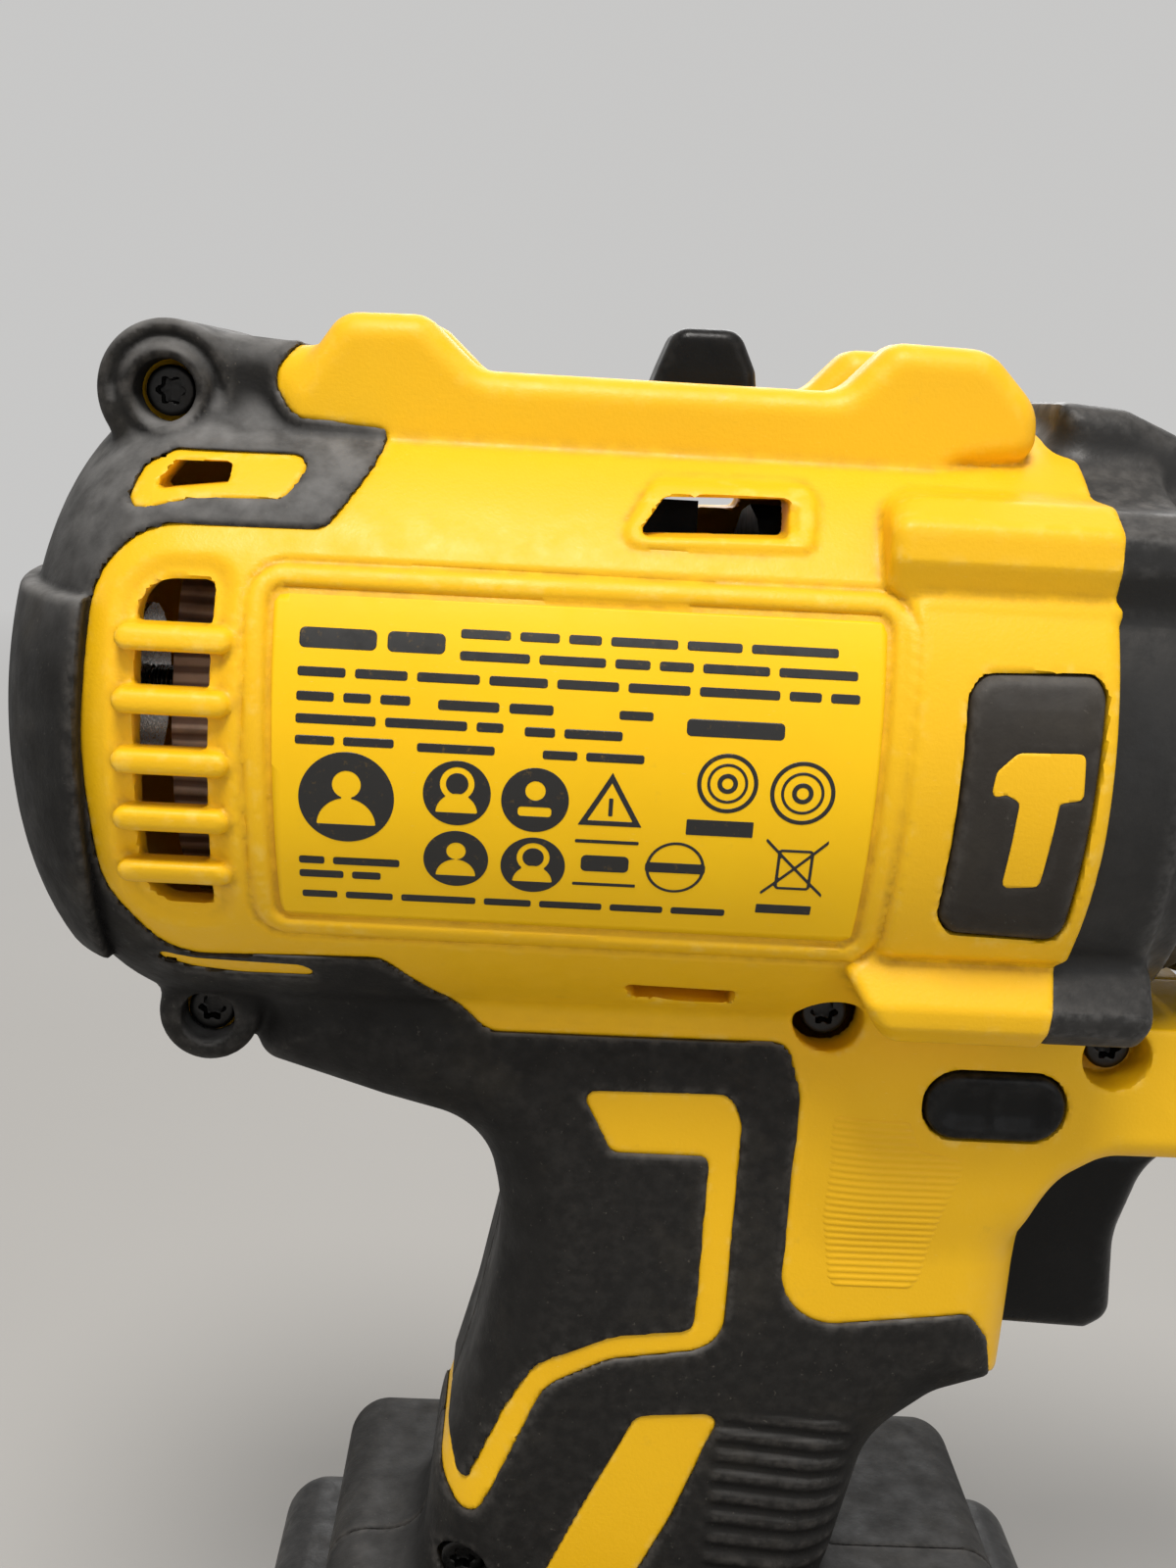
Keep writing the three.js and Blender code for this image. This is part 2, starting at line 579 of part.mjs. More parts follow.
function trigger() {
  const { rear, front, top, bottom, half } = TRIGGER;
  const shape = outline([[rear, bottom + 0.6], [64, bottom], [front, -67], [front - 0.7, -58],
    [front + 1.4, -51], [front + 2.4, top], [rear, top]]);
  return across(shape, -half, half, 1.6);
}

const directionButton = () => across(buttonOutline(0), -BUTTON.half, BUTTON.half, 0.8);
const switchModule = () => block([4, 37], [-9.5, 9.5], [-72, -46]).add(block([10, 30], [-7, 7], [-100, -71]));
const lensSide = () => outline([[69.9, -42], [72.6, -41.5], [73.2, -38], [72.2, -37], [69.9, -37]]);
const ledLens = () => across(lensSide(), -5, 5);

function terminalBlock() {
  let made = block([-10, 24], [-13, 13], [-112.6, -106.4]);
  for (const y of [-10, -5, 5, 10]) made = made.add(block([-8, 8], [y - 0.5, y + 0.5], [-118, -112]));
  return made;
}

// ---- Battery ----
const plan = (inset, r) =>
  roundedRect(BATTERY.x0 + inset, BATTERY.x1 - inset, -BATTERY.half + inset, BATTERY.half - inset, r);
const LATCH = { half: 10, x0: 44, x1: 73.6 };

function latchWay() {
  const h = LATCH.half + GAP;
  return join(
    block([69.4, 90], [-h, h], [-151, -126.5]),
    block([LATCH.x0 - 0.4, 90], [-7, 7], [-140, -130]),
    block([LATCH.x0 - 0.4, 48.4], [-7, 7], [-140, RAIL.top + 3]),
  );
}

function batteryCase() {
  const b = BATTERY;
  const hollow = upwards(plan(b.wall, 7), b.bottom + b.wall, b.split + 5);
  return upwards(plan(0, 10), b.bottom, b.split - GAP + 4, 4)
    .intersect(block([-60, 90], [-50, 50], [-180, b.split - GAP]))
    .subtract(hollow)
    .subtract(latchWay());
}

function batteryCover() {
  const b = BATTERY;
  const lid = upwards(plan(0, 10), b.split - 4, b.top, 3)
    .intersect(block([-60, 90], [-50, 50], [b.split, -100]))
    .subtract(upwards(plan(b.wall, 7), b.split - 5, b.top - b.wall));
  const tongue = join(
    block([FOOT.x0 + 5, FOOT.x1 - 1], [-RAIL.neck, RAIL.neck], [b.top - 1, RAIL.step + 0.2]),
    block([FOOT.x0 + 5, FOOT.x1 - 1], [-RAIL.wide, RAIL.wide], [RAIL.step, RAIL.top]),
  );
  let made = join(lid, tongue).subtract(latchWay());
  for (const y of [-10, -5, 5, 10]) made = made.subtract(block([-60, 10], [y - 1, y + 1], [-120, -100]));
  return made;
}

function cellPack() {
  const middle = (BATTERY.x0 + BATTERY.x1) / 2;
  const span = ((CELL.count - 1) / 2) * CELL.pitch;
  let made = block([middle - span, middle + span], [-28, 28], [CELL.z - 3, CELL.z + 3]);
  for (let i = 0; i < CELL.count; i++)
    made = made.add(
      crossRod(middle - span + i * CELL.pitch, CELL.z, CELL.r, -CELL.length / 2, CELL.length / 2, 14));
  return made;
}

function batteryLatch() {
  const pad = across(outline([[69.8, -147], [72.2, -147], [LATCH.x1, -143], [LATCH.x1, -133], [71.6, -130.4],
    [69.8, -130.4]]), -LATCH.half, LATCH.half);
  const arm = block([LATCH.x0, 70.5], [-6.4, 6.4], [-136, -134]);
  const hook = block([LATCH.x0, 48], [-6.4, 6.4], [-134.5, RAIL.top - 0.4]);
  return join(pad, arm, hook);
}

function screw({ x, z, y }) {
  const head = crossRod(x, z, SCREW.headR, y, y + SCREW.headLength, 12);
  const socket = crossRod(x, z, 1.3, y - 1, y + 1.6, 6);
  return head.add(crossRod(x, z, SCREW.shankR, y + 1, y + SCREW.length, 10)).subtract(socket);
}

// ---- Assembly ----
const drill = new THREE.Group();
drill.position.set(-MID_X, 0, -BATTERY.bottom);

function place(name, solid, material, parent = drill) {
  const mesh = new THREE.Mesh(geometryOf(solid), material);
  mesh.name = name;
  parent.add(mesh);
}

function turnedGroup(angle, y, z) {
  const spot = new THREE.Group();
  const arm = new THREE.Group();
  arm.rotation.x = angle;
  spot.position.set(0, y, z);
  arm.add(spot);
  drill.add(arm);
  return spot;
}

const SHELL_MATERIAL = { housing: YELLOW, overmould: RUBBER_BLACK };
for (const [name, solid] of Object.entries(shells())) place(name, solid, SHELL_MATERIAL[name.split("_")[0]]);
for (const [name, side] of [["right", -1], ["left", 1]])
  place("mode_badge_" + name, flankPatch(BADGE, side, BARREL_R - 1.4, BARREL_R + 0.6), RUBBER_BLACK);
place("rating_label", flankPatch(LABEL, -1, BARREL_R - 0.5, BARREL_R + 0.05), LABEL_YELLOW);
for (const spot of SCREWS) place(spot.name, screw(spot), DARK_STEEL);

place("motor_stator", stator(), LAMINATION);
place("stator_windings", windings(), COPPER);
place("sensor_board", ring(-7.4, -5.8, 8, 21), BOARD_GREEN);
place("rear_bearing", bearing(REAR_BEARING, SHAFT_R), STEEL);
place("front_bearing", bearing(FRONT_BEARING, SHAFT_R), STEEL);
place("rotor", rotor(), DARK_STEEL);
place("fan", fan(), PLASTIC_BLACK);
place("motor_pinion", motorPinion(), STEEL);

place("gear_case_cover", gearCaseCover(), PLASTIC_BLACK);
place("gear_case", gearCase(), PLASTIC_BLACK);
place("ring_gear_1", ringGear(STAGES[0], 22.2, 28.6), STEEL);
place("ring_gear_2", slidingRing(), STEEL);
place("ring_gear_3", ringGear(STAGES[2], 45.9, 52.7), STEEL);
STAGES.forEach((stage, s) => {
  place("carrier_" + (s + 1), carrier(stage, STAGES[s + 1]), STEEL);
  for (let i = 0; i < 3; i++)
    place(`planet_${s + 1}_${i + 1}`, planet(stage), STEEL, turnedGroup(planetAngle(i), orbit(stage), 0));
});
place("shift_bracket", shiftBracket(), DARK_STEEL);
place("speed_selector", speedSelector(), PLASTIC_BLACK);

place("clutch_spring", clutchSpring(), STEEL);
place("clutch_collar", clutchCollar(), PLASTIC_BLACK);
place("spindle_bearing", bearing({ r: 11.1, x0: 73.9, x1: 81.5 }, 7.3), STEEL);
place("spindle", spindle(), STEEL);
place("chuck_body", chuckBody(), DARK_STEEL);
place("chuck_screw", chuckScrew(), DARK_STEEL);
place("chuck_sleeve", chuckSleeve(), PLASTIC_BLACK);
place("jaw_nut", jawNut(), STEEL);
for (let i = 0; i < 3; i++) place("chuck_jaw_" + (i + 1), jaw(), STEEL, turnedGroup(planetAngle(i), 0, 0));

place("trigger", trigger(), PLASTIC_BLACK);
place("direction_button", directionButton(), PLASTIC_BLACK);
place("switch_module", switchModule(), PLASTIC_BLACK);
place("led_lens", ledLens(), LENS);
place("terminal_block", terminalBlock(), BRASS);
place("battery_case", batteryCase(), PLASTIC_BLACK);
place("battery_cover", batteryCover(), PLASTIC_BLACK);
place("cell_pack", cellPack(), CELL_GREY);
place("battery_latch", batteryLatch(), YELLOW);

export default drill;
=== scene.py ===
"""The looks of the cordless drill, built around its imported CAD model.

Most shells are meshed from signed distance functions: small numpy functions of x, y and z that are
negative inside the plastic. They are written in millimetres in the spindle frame: the spindle is the
x axis and points forward, z is up, and y = 0 is the plane where the two clamshells meet. In them
f and d are such distances, a is the distance from that plane, and r is the distance from the spindle
or from the axis of a screw.
"""

import math

import bpy
import numpy as np
from mathutils import Matrix, Vector


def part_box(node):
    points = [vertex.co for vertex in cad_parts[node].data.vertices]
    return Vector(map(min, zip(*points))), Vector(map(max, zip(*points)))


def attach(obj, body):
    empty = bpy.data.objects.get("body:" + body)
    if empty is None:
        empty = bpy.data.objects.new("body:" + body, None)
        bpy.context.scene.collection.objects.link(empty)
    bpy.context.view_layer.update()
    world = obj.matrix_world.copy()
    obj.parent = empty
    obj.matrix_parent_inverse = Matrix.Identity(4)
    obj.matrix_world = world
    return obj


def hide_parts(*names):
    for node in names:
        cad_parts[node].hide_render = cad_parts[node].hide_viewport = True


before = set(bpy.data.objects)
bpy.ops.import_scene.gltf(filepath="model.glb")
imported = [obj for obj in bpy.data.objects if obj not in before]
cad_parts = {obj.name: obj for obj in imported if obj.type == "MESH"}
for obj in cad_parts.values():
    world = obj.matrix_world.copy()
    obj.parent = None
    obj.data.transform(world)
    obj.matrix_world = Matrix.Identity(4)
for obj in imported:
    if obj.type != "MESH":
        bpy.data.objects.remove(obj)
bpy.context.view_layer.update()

# ---- The spindle frame, from the CAD pieces ----
MM = 0.001
COLLAR_REAR = 68.0
collar_low, collar_high = (np.array(c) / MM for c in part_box("clutch_collar"))
ORIGIN = np.array([collar_low[0] - COLLAR_REAR, 0.0, (collar_low[2] + collar_high[2]) / 2])

SIDES = (("right", -1), ("left", 1))


def cell_size(fine):
    """The size of a mesh cell in millimetres."""
    return fine


FINE = cell_size(0.62)

# ---- Distance functions ----


def smin(a, b, k):
    """The union of two bodies, with a fillet of about k."""
    h = np.clip(0.5 + 0.5 * (b - a) / k, 0.0, 1.0)
    return b + (a - b) * h - k * h * (1.0 - h)


def smax(a, b, k):
    """The common part of two bodies, with an edge rounded by about k."""
    return -smin(-a, -b, k)


def rounded_pair(a, b, r):
    """Where two slabs meet: both inside, with the edge between them rounded by r."""
    p, q = a + r, b + r
    return np.hypot(np.maximum(p, 0), np.maximum(q, 0)) + np.minimum(np.maximum(p, q), 0) - r


def box(x, y, z, centre, half, r=0.0):
    q = [np.abs(v - c) - h + r for v, c, h in zip((x, y, z), centre, half)]
    outside = np.sqrt(sum(np.maximum(v, 0) ** 2 for v in q))
    return outside + np.minimum(np.maximum(np.maximum(q[0], q[1]), q[2]), 0) - r


def arc_corners(corners, step=0.5):
    """A closed outline from (u, v, radius) corners, each rounded by an arc of its radius."""
    points = []
    count = len(corners)
    for i, (u, v, r) in enumerate(corners):
        here = np.array([u, v], float)
        before = np.array(corners[i - 1][:2], float) - here
        after = np.array(corners[(i + 1) % count][:2], float) - here
        la, lb = np.linalg.norm(before), np.linalg.norm(after)
        before, after = before / la, after / lb
        turn = math.acos(float(np.clip(before @ after, -1, 1)))
        reach = min(r / math.tan(turn / 2), la * 0.48, lb * 0.48) if r > 0 else 0.0
        if reach < 1e-3:
            points.append(here)
            continue
        radius = reach * math.tan(turn / 2)
        middle = here + (before + after) / np.linalg.norm(before + after) * (radius / math.sin(turn / 2))
        first, last = here + before * reach - middle, here + after * reach - middle
        sweep = math.pi - turn
        steps = max(2, int(radius * sweep / step))
        cross = first[0] * last[1] - first[1] * last[0]
        way = 1.0 if cross > 0 else -1.0
        for s in range(steps + 1):
            a = way * sweep * s / steps
            points.append(middle + np.array([first[0] * math.cos(a) - first[1] * math.sin(a),
                                             first[0] * math.sin(a) + first[1] * math.cos(a)]))
    return np.array(points)


class Flat:
    """The signed distance to a flat outline, held on a fine raster and read between its points."""

    def __init__(self, corners, pad=5.0, step=0.3):
        p = arc_corners(corners)
        self.low = p.min(0) - pad
        self.step = step
        size = np.ceil((p.max(0) + pad - self.low) / step).astype(int) + 1
        u = self.low[0] + step * np.arange(size[0])
        v = self.low[1] + step * np.arange(size[1])
        uu, vv = np.meshgrid(u, v, indexing="ij")
        best = np.full(uu.shape, 1e9)
        inside = np.zeros(uu.shape, bool)
        for a, b in zip(p, np.roll(p, -1, 0)):
            ab = b - a
            t = np.clip(((uu - a[0]) * ab[0] + (vv - a[1]) * ab[1]) / max(ab @ ab, 1e-12), 0, 1)
            best = np.minimum(best, (uu - a[0] - t * ab[0]) ** 2 + (vv - a[1] - t * ab[1]) ** 2)
            if a[1] != b[1]:
                crosses = (a[1] > vv) != (b[1] > vv)
                inside ^= crosses & (uu < (b[0] - a[0]) * (vv - a[1]) / (b[1] - a[1]) + a[0])
        self.grid = np.where(inside, -1, 1) * np.sqrt(best)
        self.size = size

    def __call__(self, u, v):
        gu = (u - self.low[0]) / self.step
        gv = (v - self.low[1]) / self.step
        cu = np.clip(gu, 0, self.size[0] - 1.001)
        cv = np.clip(gv, 0, self.size[1] - 1.001)
        i, j = cu.astype(int), cv.astype(int)
        fu, fv = cu - i, cv - j
        g = self.grid
        near = ((g[i, j] * (1 - fu) + g[i + 1, j] * fu) * (1 - fv)
                + (g[i, j + 1] * (1 - fu) + g[i + 1, j + 1] * fu) * fv)
        return near + np.hypot(gu - cu, gv - cv) * self.step


# ---- From a distance function to a mesh ----
CORNERS = np.array([[i, j, k] for i in (0, 1) for j in (0, 1) for k in (0, 1)])
EDGES = [(a, b) for a in range(8) for b in range(a + 1, 8) if np.abs(CORNERS[a] - CORNERS[b]).sum() == 1]


def keys_of(cells, span):
    return (cells[:, 0] * span + cells[:, 1]) * span + cells[:, 2]


def in_batches(f, points, size=400_000):
    return np.concatenate([f(*points[i:i + size].T) for i in range(0, len(points), size)])


def surface(f, low, high, h):
    """Vertices and quads of the surface f = 0, with cells of size h kept only near the surface."""
    low = np.array(low, float)
    top = 8
    counts = np.ceil((np.array(high) - low) / (top * h)).astype(int)
    cells = np.stack(np.meshgrid(*[np.arange(n) for n in counts], indexing="ij"), -1).reshape(-1, 3)
    size = top
    while True:
        centres = low + (cells + 0.5) * size * h
        near = np.abs(in_batches(f, centres)) < (0.95 * size + 1.3) * h
        cells = cells[near]
        if size == 1:
            break
        size //= 2
        cells = (cells[:, None, :] * 2 + CORNERS[None]).reshape(-1, 3)
    span = int(counts.max() * top + 4)
    corner_cells = (cells[:, None, :] + CORNERS[None]).reshape(-1, 3)
    unique, inverse = np.unique(keys_of(corner_cells, span), return_inverse=True)
    spots = np.stack([unique // (span * span), unique // span % span, unique % span], 1)
    values = in_batches(f, low + spots * h)
    v8 = values[inverse.reshape(-1)].reshape(-1, 8)
    active = (v8.min(1) < 0) & (v8.max(1) >= 0)
    cells, v8 = cells[active], v8[active]
    total = np.zeros((len(cells), 3))
    hits = np.zeros(len(cells))
    for a, b in EDGES:
        cut = (v8[:, a] < 0) != (v8[:, b] < 0)
        t = np.where(cut, v8[:, a] / np.where(cut, v8[:, a] - v8[:, b], 1), 0)[:, None]
        total += np.where(cut[:, None], CORNERS[a] + t * (CORNERS[b] - CORNERS[a]), 0)
        hits += cut
    points = low + (cells + total / hits[:, None]) * h
    order = np.argsort(keys_of(cells, span))
    sorted_keys = keys_of(cells, span)[order]
    quads = []
    for axis in range(3):
        u, v = (axis + 1) % 3, (axis + 2) % 3
        far = 4 >> axis
        cut = (v8[:, 0] < 0) != (v8[:, far] < 0)
        ids = []
        for du, dv in ((0, 0), (1, 0), (1, 1), (0, 1)):
            around = cells[cut].copy()
            around[:, u] -= du
            around[:, v] -= dv
            wanted = keys_of(around, span)
            at = np.clip(np.searchsorted(sorted_keys, wanted), 0, len(order) - 1)
            ids.append(np.where(sorted_keys[at] == wanted, order[at], -1))
        ring = np.stack(ids, 1)
        forward = v8[cut, 0] < 0
        ring[~forward] = ring[~forward][:, ::-1]
        quads.append(ring[(ring >= 0).all(1)])
    return settle(f, points, h), np.concatenate(quads)


def slope(f, points, reach):
    parts = []
    for axis in range(3):
        step = np.zeros(3)
        step[axis] = reach
        parts.append(in_batches(f, points + step) - in_batches(f, points - step))
    return np.stack(parts, 1) / (2 * reach)


def settle(f, points, h, rounds=2):
    """Moves each vertex onto the true surface, by at most half a cell."""
    start = points.copy()
    for _ in range(rounds):
        g = slope(f, points, 0.15)
        length2 = np.maximum((g ** 2).sum(1), 0.25)
        points = points - (in_batches(f, points) / length2)[:, None] * g
        points = start + np.clip(points - start, -0.55 * h, 0.55 * h)
    return points


def soft_marks(f, points):
    """How much each point stands on an outer edge, sits in a crease, and faces up, where the black materials
    turn dusty and take a painted top light.

    The up mark is weaker on the foot and the battery, under the body: a painted shadow of the body.
    """
    reach, shadow_full_z, shadow_free_z = 0.9, -105, -75
    bend = -6 * in_batches(f, points)
    for axis in range(3):
        for way in (-1, 1):
            step = np.zeros(3)
            step[axis] = way * reach
            bend += in_batches(f, points + step)
    bend /= reach ** 2
    normal = slope(f, points, 0.3)
    normal /= np.maximum(np.linalg.norm(normal, axis=1), 1e-6)[:, None]
    # Painted shadow of the body: the up mark, and the pale tint it drives, fades below the body.
    painted_shadow_fade = np.clip((points[:, 2] - shadow_full_z) / (shadow_free_z - shadow_full_z), 0.3, 1)
    return {"edge": np.clip(bend * 0.9, 0, 1), "crease": np.clip(-bend * 0.9, 0, 1),
            "up": np.clip(normal[:, 2], 0, 1) * painted_shadow_fade}


# ---- Making Blender pieces ----


def make_piece(name, points, faces, material, body, node=None, marks=None, smooth=40):
    """One mesh object from spindle-frame points in millimetres, riding on a CAD body."""
    mesh = bpy.data.meshes.new(name)
    where = (np.asarray(points) + ORIGIN) * MM
    polygons = faces if isinstance(faces, list) else faces.tolist()
    mesh.from_pydata([tuple(p) for p in where.tolist()], [], polygons)
    mesh.materials.append(material)
    for key, values in (marks or {}).items():
        layer = mesh.attributes.new(key, "FLOAT", "POINT")
        layer.data.foreach_set("value", np.asarray(values, np.float32))
    mesh.polygons.foreach_set("use_smooth", [True] * len(mesh.polygons))
    mesh.set_sharp_from_angle(angle=math.radians(smooth))
    mesh.update()
    piece = bpy.data.objects.new(name, mesh)
    bpy.context.scene.collection.objects.link(piece)
    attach(piece, body)
    if node:
        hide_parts(node)
    return piece


def sdf_piece(name, f, low, high, material, body, node=None, h=FINE):
    """One mesh object from a distance function, meshed between two corners with cells of size h."""
    points, quads = surface(f, low, high, h)
    return make_piece(name, points, quads, material, body, node, soft_marks(f, points), smooth=50)


def thicken(piece, thickness, offset):
    """Makes a sheet solid: offset -1 grows it inwards and 0 both ways."""
    solid = piece.modifiers.new("thickness", "SOLIDIFY")
    solid.thickness = thickness * MM
    solid.offset = offset


# ---- Materials ----


class Paint:
    """One Principled material, with short ways to add the nodes that vary it."""

    def __init__(self, name, colour, roughness, metallic=0.0, specular=0.5):
        self.material = bpy.data.materials.new(name)
        self.material.use_nodes = True
        self.tree = self.material.node_tree
        self.shader = self.tree.nodes["Principled BSDF"]
        self.shader.inputs["Metallic"].default_value = metallic
        self.shader.inputs["Specular IOR Level"].default_value = specular
        self.shader.inputs["Roughness"].default_value = roughness
        self.shader.inputs["Base Color"].default_value = (*colour, 1)
        self.place = self.tree.nodes.new("ShaderNodeTexCoord").outputs["Object"]
        self.colour = None
        self.start = colour

    def link(self, a, b):
        self.tree.links.new(a, b)

    def noise(self, per_mm, detail=3.0, roughness=0.55, stretch=None):
        """Fractal noise whose main features are 1 / per_mm millimetres across."""
        node = self.tree.nodes.new("ShaderNodeTexNoise")
        node.inputs["Scale"].default_value = per_mm / MM
        node.inputs["Detail"].default_value = detail
        node.inputs["Roughness"].default_value = roughness
        where = self.place
        if stretch:
            mapping = self.tree.nodes.new("ShaderNodeMapping")
            mapping.inputs["Scale"].default_value = stretch
            self.link(where, mapping.inputs["Vector"])
            where = mapping.outputs["Vector"]
        self.link(where, node.inputs["Vector"])
        return node.outputs["Fac"]

    def mark(self, key):
        node = self.tree.nodes.new("ShaderNodeAttribute")
        node.attribute_name = key
        return node.outputs["Fac"]

    def between(self, value, low, high, to_low=0.0, to_high=1.0):
        node = self.tree.nodes.new("ShaderNodeMapRange")
        node.inputs["From Min"].default_value = low
        node.inputs["From Max"].default_value = high
        node.inputs["To Min"].default_value = to_low
        node.inputs["To Max"].default_value = to_high
        self.link(value, node.inputs["Value"])
        return node.outputs["Result"]

    def maths(self, operation, a, b):
        node = self.tree.nodes.new("ShaderNodeMath")
        node.operation = operation
        for value, socket in ((a, node.inputs[0]), (b, node.inputs[1])):
            if isinstance(value, (int, float)):
                socket.default_value = value
            else:
                self.link(value, socket)
        return node.outputs[0]

    def tint(self, amount, colour):
        """Moves the base colour towards another one, by amount."""
        node = self.tree.nodes.new("ShaderNodeMix")
        node.data_type = "RGBA"
        sockets = [s for s in node.inputs if s.type == "RGBA"]
        if self.colour is None:
            sockets[0].default_value = (*self.start, 1)
        else:
            self.link(self.colour, sockets[0])
        sockets[1].default_value = (*colour, 1)
        self.link(amount, node.inputs["Factor"])
        self.colour = [s for s in node.outputs if s.type == "RGBA"][0]
        self.link(self.colour, self.shader.inputs["Base Color"])

    def blotches(self, colour, per_mm, detail, low, high, most, roughness=0.55, stretch=None):
        """Tints patches of noise: not at all below low, and by most from high up."""
        self.tint(self.between(self.noise(per_mm, detail, roughness, stretch), low, high, 0, most), colour)

    def shine(self, smooth, rough, per_mm, detail=3.0, roughness=0.55, stretch=None):
        """Lets the surface's roughness wander from smooth to rough."""
        wander = self.between(self.noise(per_mm, detail, roughness, stretch), 0.3, 0.7, smooth, rough)
        self.link(wander, self.shader.inputs["Roughness"])

    def bump(self, height, distance_mm, strength=1.0):
        node = self.tree.nodes.new("ShaderNodeBump")
        node.inputs["Distance"].default_value = distance_mm * MM
        node.inputs["Strength"].default_value = strength
        self.link(height, node.inputs["Height"])
        before = self.shader.inputs["Normal"]
        if before.is_linked:
            self.link(before.links[0].from_socket, node.inputs["Normal"])
        self.link(node.outputs["Normal"], before)


def yellow_plastic(name="yellow_plastic", colour=(0.86, 0.485, 0.005), grain=0.05, specular=0.32):
    """Moulded nylon: fine grain, pale rubbed edges, darker creases, small scuffs."""
    p = Paint(name, colour, 0.5, specular=specular)
    p.blotches((0.80, 0.41, 0.004), 0.06, 4, 0.35, 0.75, 0.3)
    # The creases are made darker, in patches.
    crease_darkening = p.maths("MULTIPLY", p.mark("crease"), p.between(p.noise(0.5, 4), 0.35, 0.65, 0.1, 0.55))
    p.tint(crease_darkening, (0.36, 0.17, 0.01))
    smudge = (0.42, 0.24, 0.04)
    p.blotches(smudge, 0.22, 6, 0.64, 0.74, 0.14, 0.7)
    rubbed = p.maths("MULTIPLY", p.mark("edge"), p.between(p.noise(0.5, 4), 0.52, 0.68, 0.0, 0.35))
    p.tint(rubbed, (0.92, 0.66, 0.16))
    scratch = (0.95, 0.74, 0.30)
    p.blotches(scratch, 1.1, 2, 0.745, 0.765, 0.4, 0.5, (1, 1, 14))
    p.shine(0.38, 0.56, 0.35, 5)
    p.bump(p.noise(2.6, 2), grain, 0.55)
    p.bump(p.noise(0.12, 3), 0.2, 0.2)
    return p.material


def black_rubber(name="black_rubber", colour=(0.0085, 0.0078, 0.0070), dust_and_top_light_amount=0.85):
    """Soft over-moulded rubber: matt, stippled, dusty where it faces up, with a painted top light there, and
    pale along its edges.
    """
    p = Paint(name, colour, 0.75, specular=0.22)
    patchy = p.between(p.noise(0.3, 5), 0.3, 0.65, 0.35, 1)
    # Upward faces turn dusty and paler: partly real, partly a painted top light.
    dust_and_top_light = p.maths("MULTIPLY", p.between(p.mark("up"), 0.15, 0.9), patchy)
    p.tint(p.maths("MULTIPLY", dust_and_top_light, dust_and_top_light_amount), (0.20, 0.195, 0.19))
    hand_grease, specks = (0.10, 0.085, 0.06), (0.20, 0.18, 0.15)
    p.blotches(hand_grease, 0.09, 6, 0.52, 0.76, 0.16, 0.65)
    p.blotches(specks, 1.6, 3, 0.67, 0.75, 0.25, 0.6)
    rubbed = p.maths("MULTIPLY", p.mark("edge"), p.between(p.noise(0.7, 4), 0.4, 0.65, 0.05, 0.32))
    p.tint(rubbed, (0.12, 0.11, 0.10))
    # Painted shade: the creases are made darker.
    p.tint(p.maths("MULTIPLY", p.mark("crease"), 0.5), (0.004, 0.0035, 0.0035))
    p.shine(0.55, 0.80, 0.25, 4)
    p.bump(p.noise(2.2, 2), 0.07, 0.6)
    p.bump(p.noise(0.2, 3), 0.3, 0.3)
    return p.material


def black_plastic(name="black_plastic", colour=(0.013, 0.0125, 0.012), rough=(0.38, 0.6), wear_and_top_light=1.0):
    """Glass-filled black plastic with a spark-eroded texture."""
    p = Paint(name, colour, 0.5, specular=0.15 + 0.15 * wear_and_top_light)
    p.blotches((0.05, 0.047, 0.044), 0.15, 5, 0.45, 0.75, 0.25 * wear_and_top_light)
    worn = p.between(p.noise(0.9, 4), 0.42, 0.62, 0.06 * wear_and_top_light, 0.45 * wear_and_top_light)
    p.tint(p.maths("MULTIPLY", p.mark("edge"), worn), (0.15, 0.145, 0.14))
    # Upward faces turn dusty and paler: partly real, partly a painted top light.
    dust_and_top_light = p.between(p.noise(0.5, 5), 0.4, 0.7, 0.15 * wear_and_top_light, 0.65 * wear_and_top_light)
    p.tint(p.maths("MULTIPLY", p.between(p.mark("up"), 0.3, 1.0), dust_and_top_light), (0.14, 0.13, 0.12))
    p.shine(*rough, 0.4, 4)
    p.bump(p.noise(1.9, 2), 0.05, 0.6)
    return p.material


def bare_metal(name, colour, rough, stretch=(1, 1, 1), grain=3.0, stain=(0.12, 0.10, 0.08)):
    p = Paint(name, colour, sum(rough) / 2, metallic=1.0)
    p.blotches(stain, 0.25, 5, 0.5, 0.8, 0.5)
    p.shine(*rough, grain, 3, 0.5, stretch)
    p.bump(p.noise(grain, 2, 0.5, stretch), 0.012, 0.5)
    return p.material


def striped(name, colour, other, per_mm, metallic, rough, direction="X"):
    """Fine layers, as in a stack of laminations or a wound coil."""
    p = Paint(name, colour, rough, metallic=metallic)
    wave = p.tree.nodes.new("ShaderNodeTexWave")
    wave.bands_direction = direction
    bands_per_metre = 20 / math.tau  # what a wave texture makes at a scale of 1
    wave.inputs["Scale"].default_value = per_mm / MM / bands_per_metre
    wave.inputs["Distortion"].default_value = 0.6
    p.link(p.place, wave.inputs["Vector"])
    p.tint(p.between(wave.outputs["Fac"], 0.2, 0.7, 1, 0), other)
    p.blotches((0.05, 0.045, 0.04), 0.3, 4, 0.5, 0.75, 0.4)
    p.bump(wave.outputs["Fac"], 0.15, 0.8)
    return p.material


def board_green():
    p = Paint("circuit_board", (0.012, 0.09, 0.035), 0.35)
    p.blotches((0.35, 0.30, 0.16), 1.2, 1, 0.6, 0.62, 0.8, 0.2)
    p.shine(0.25, 0.5, 0.5)
    return p.material


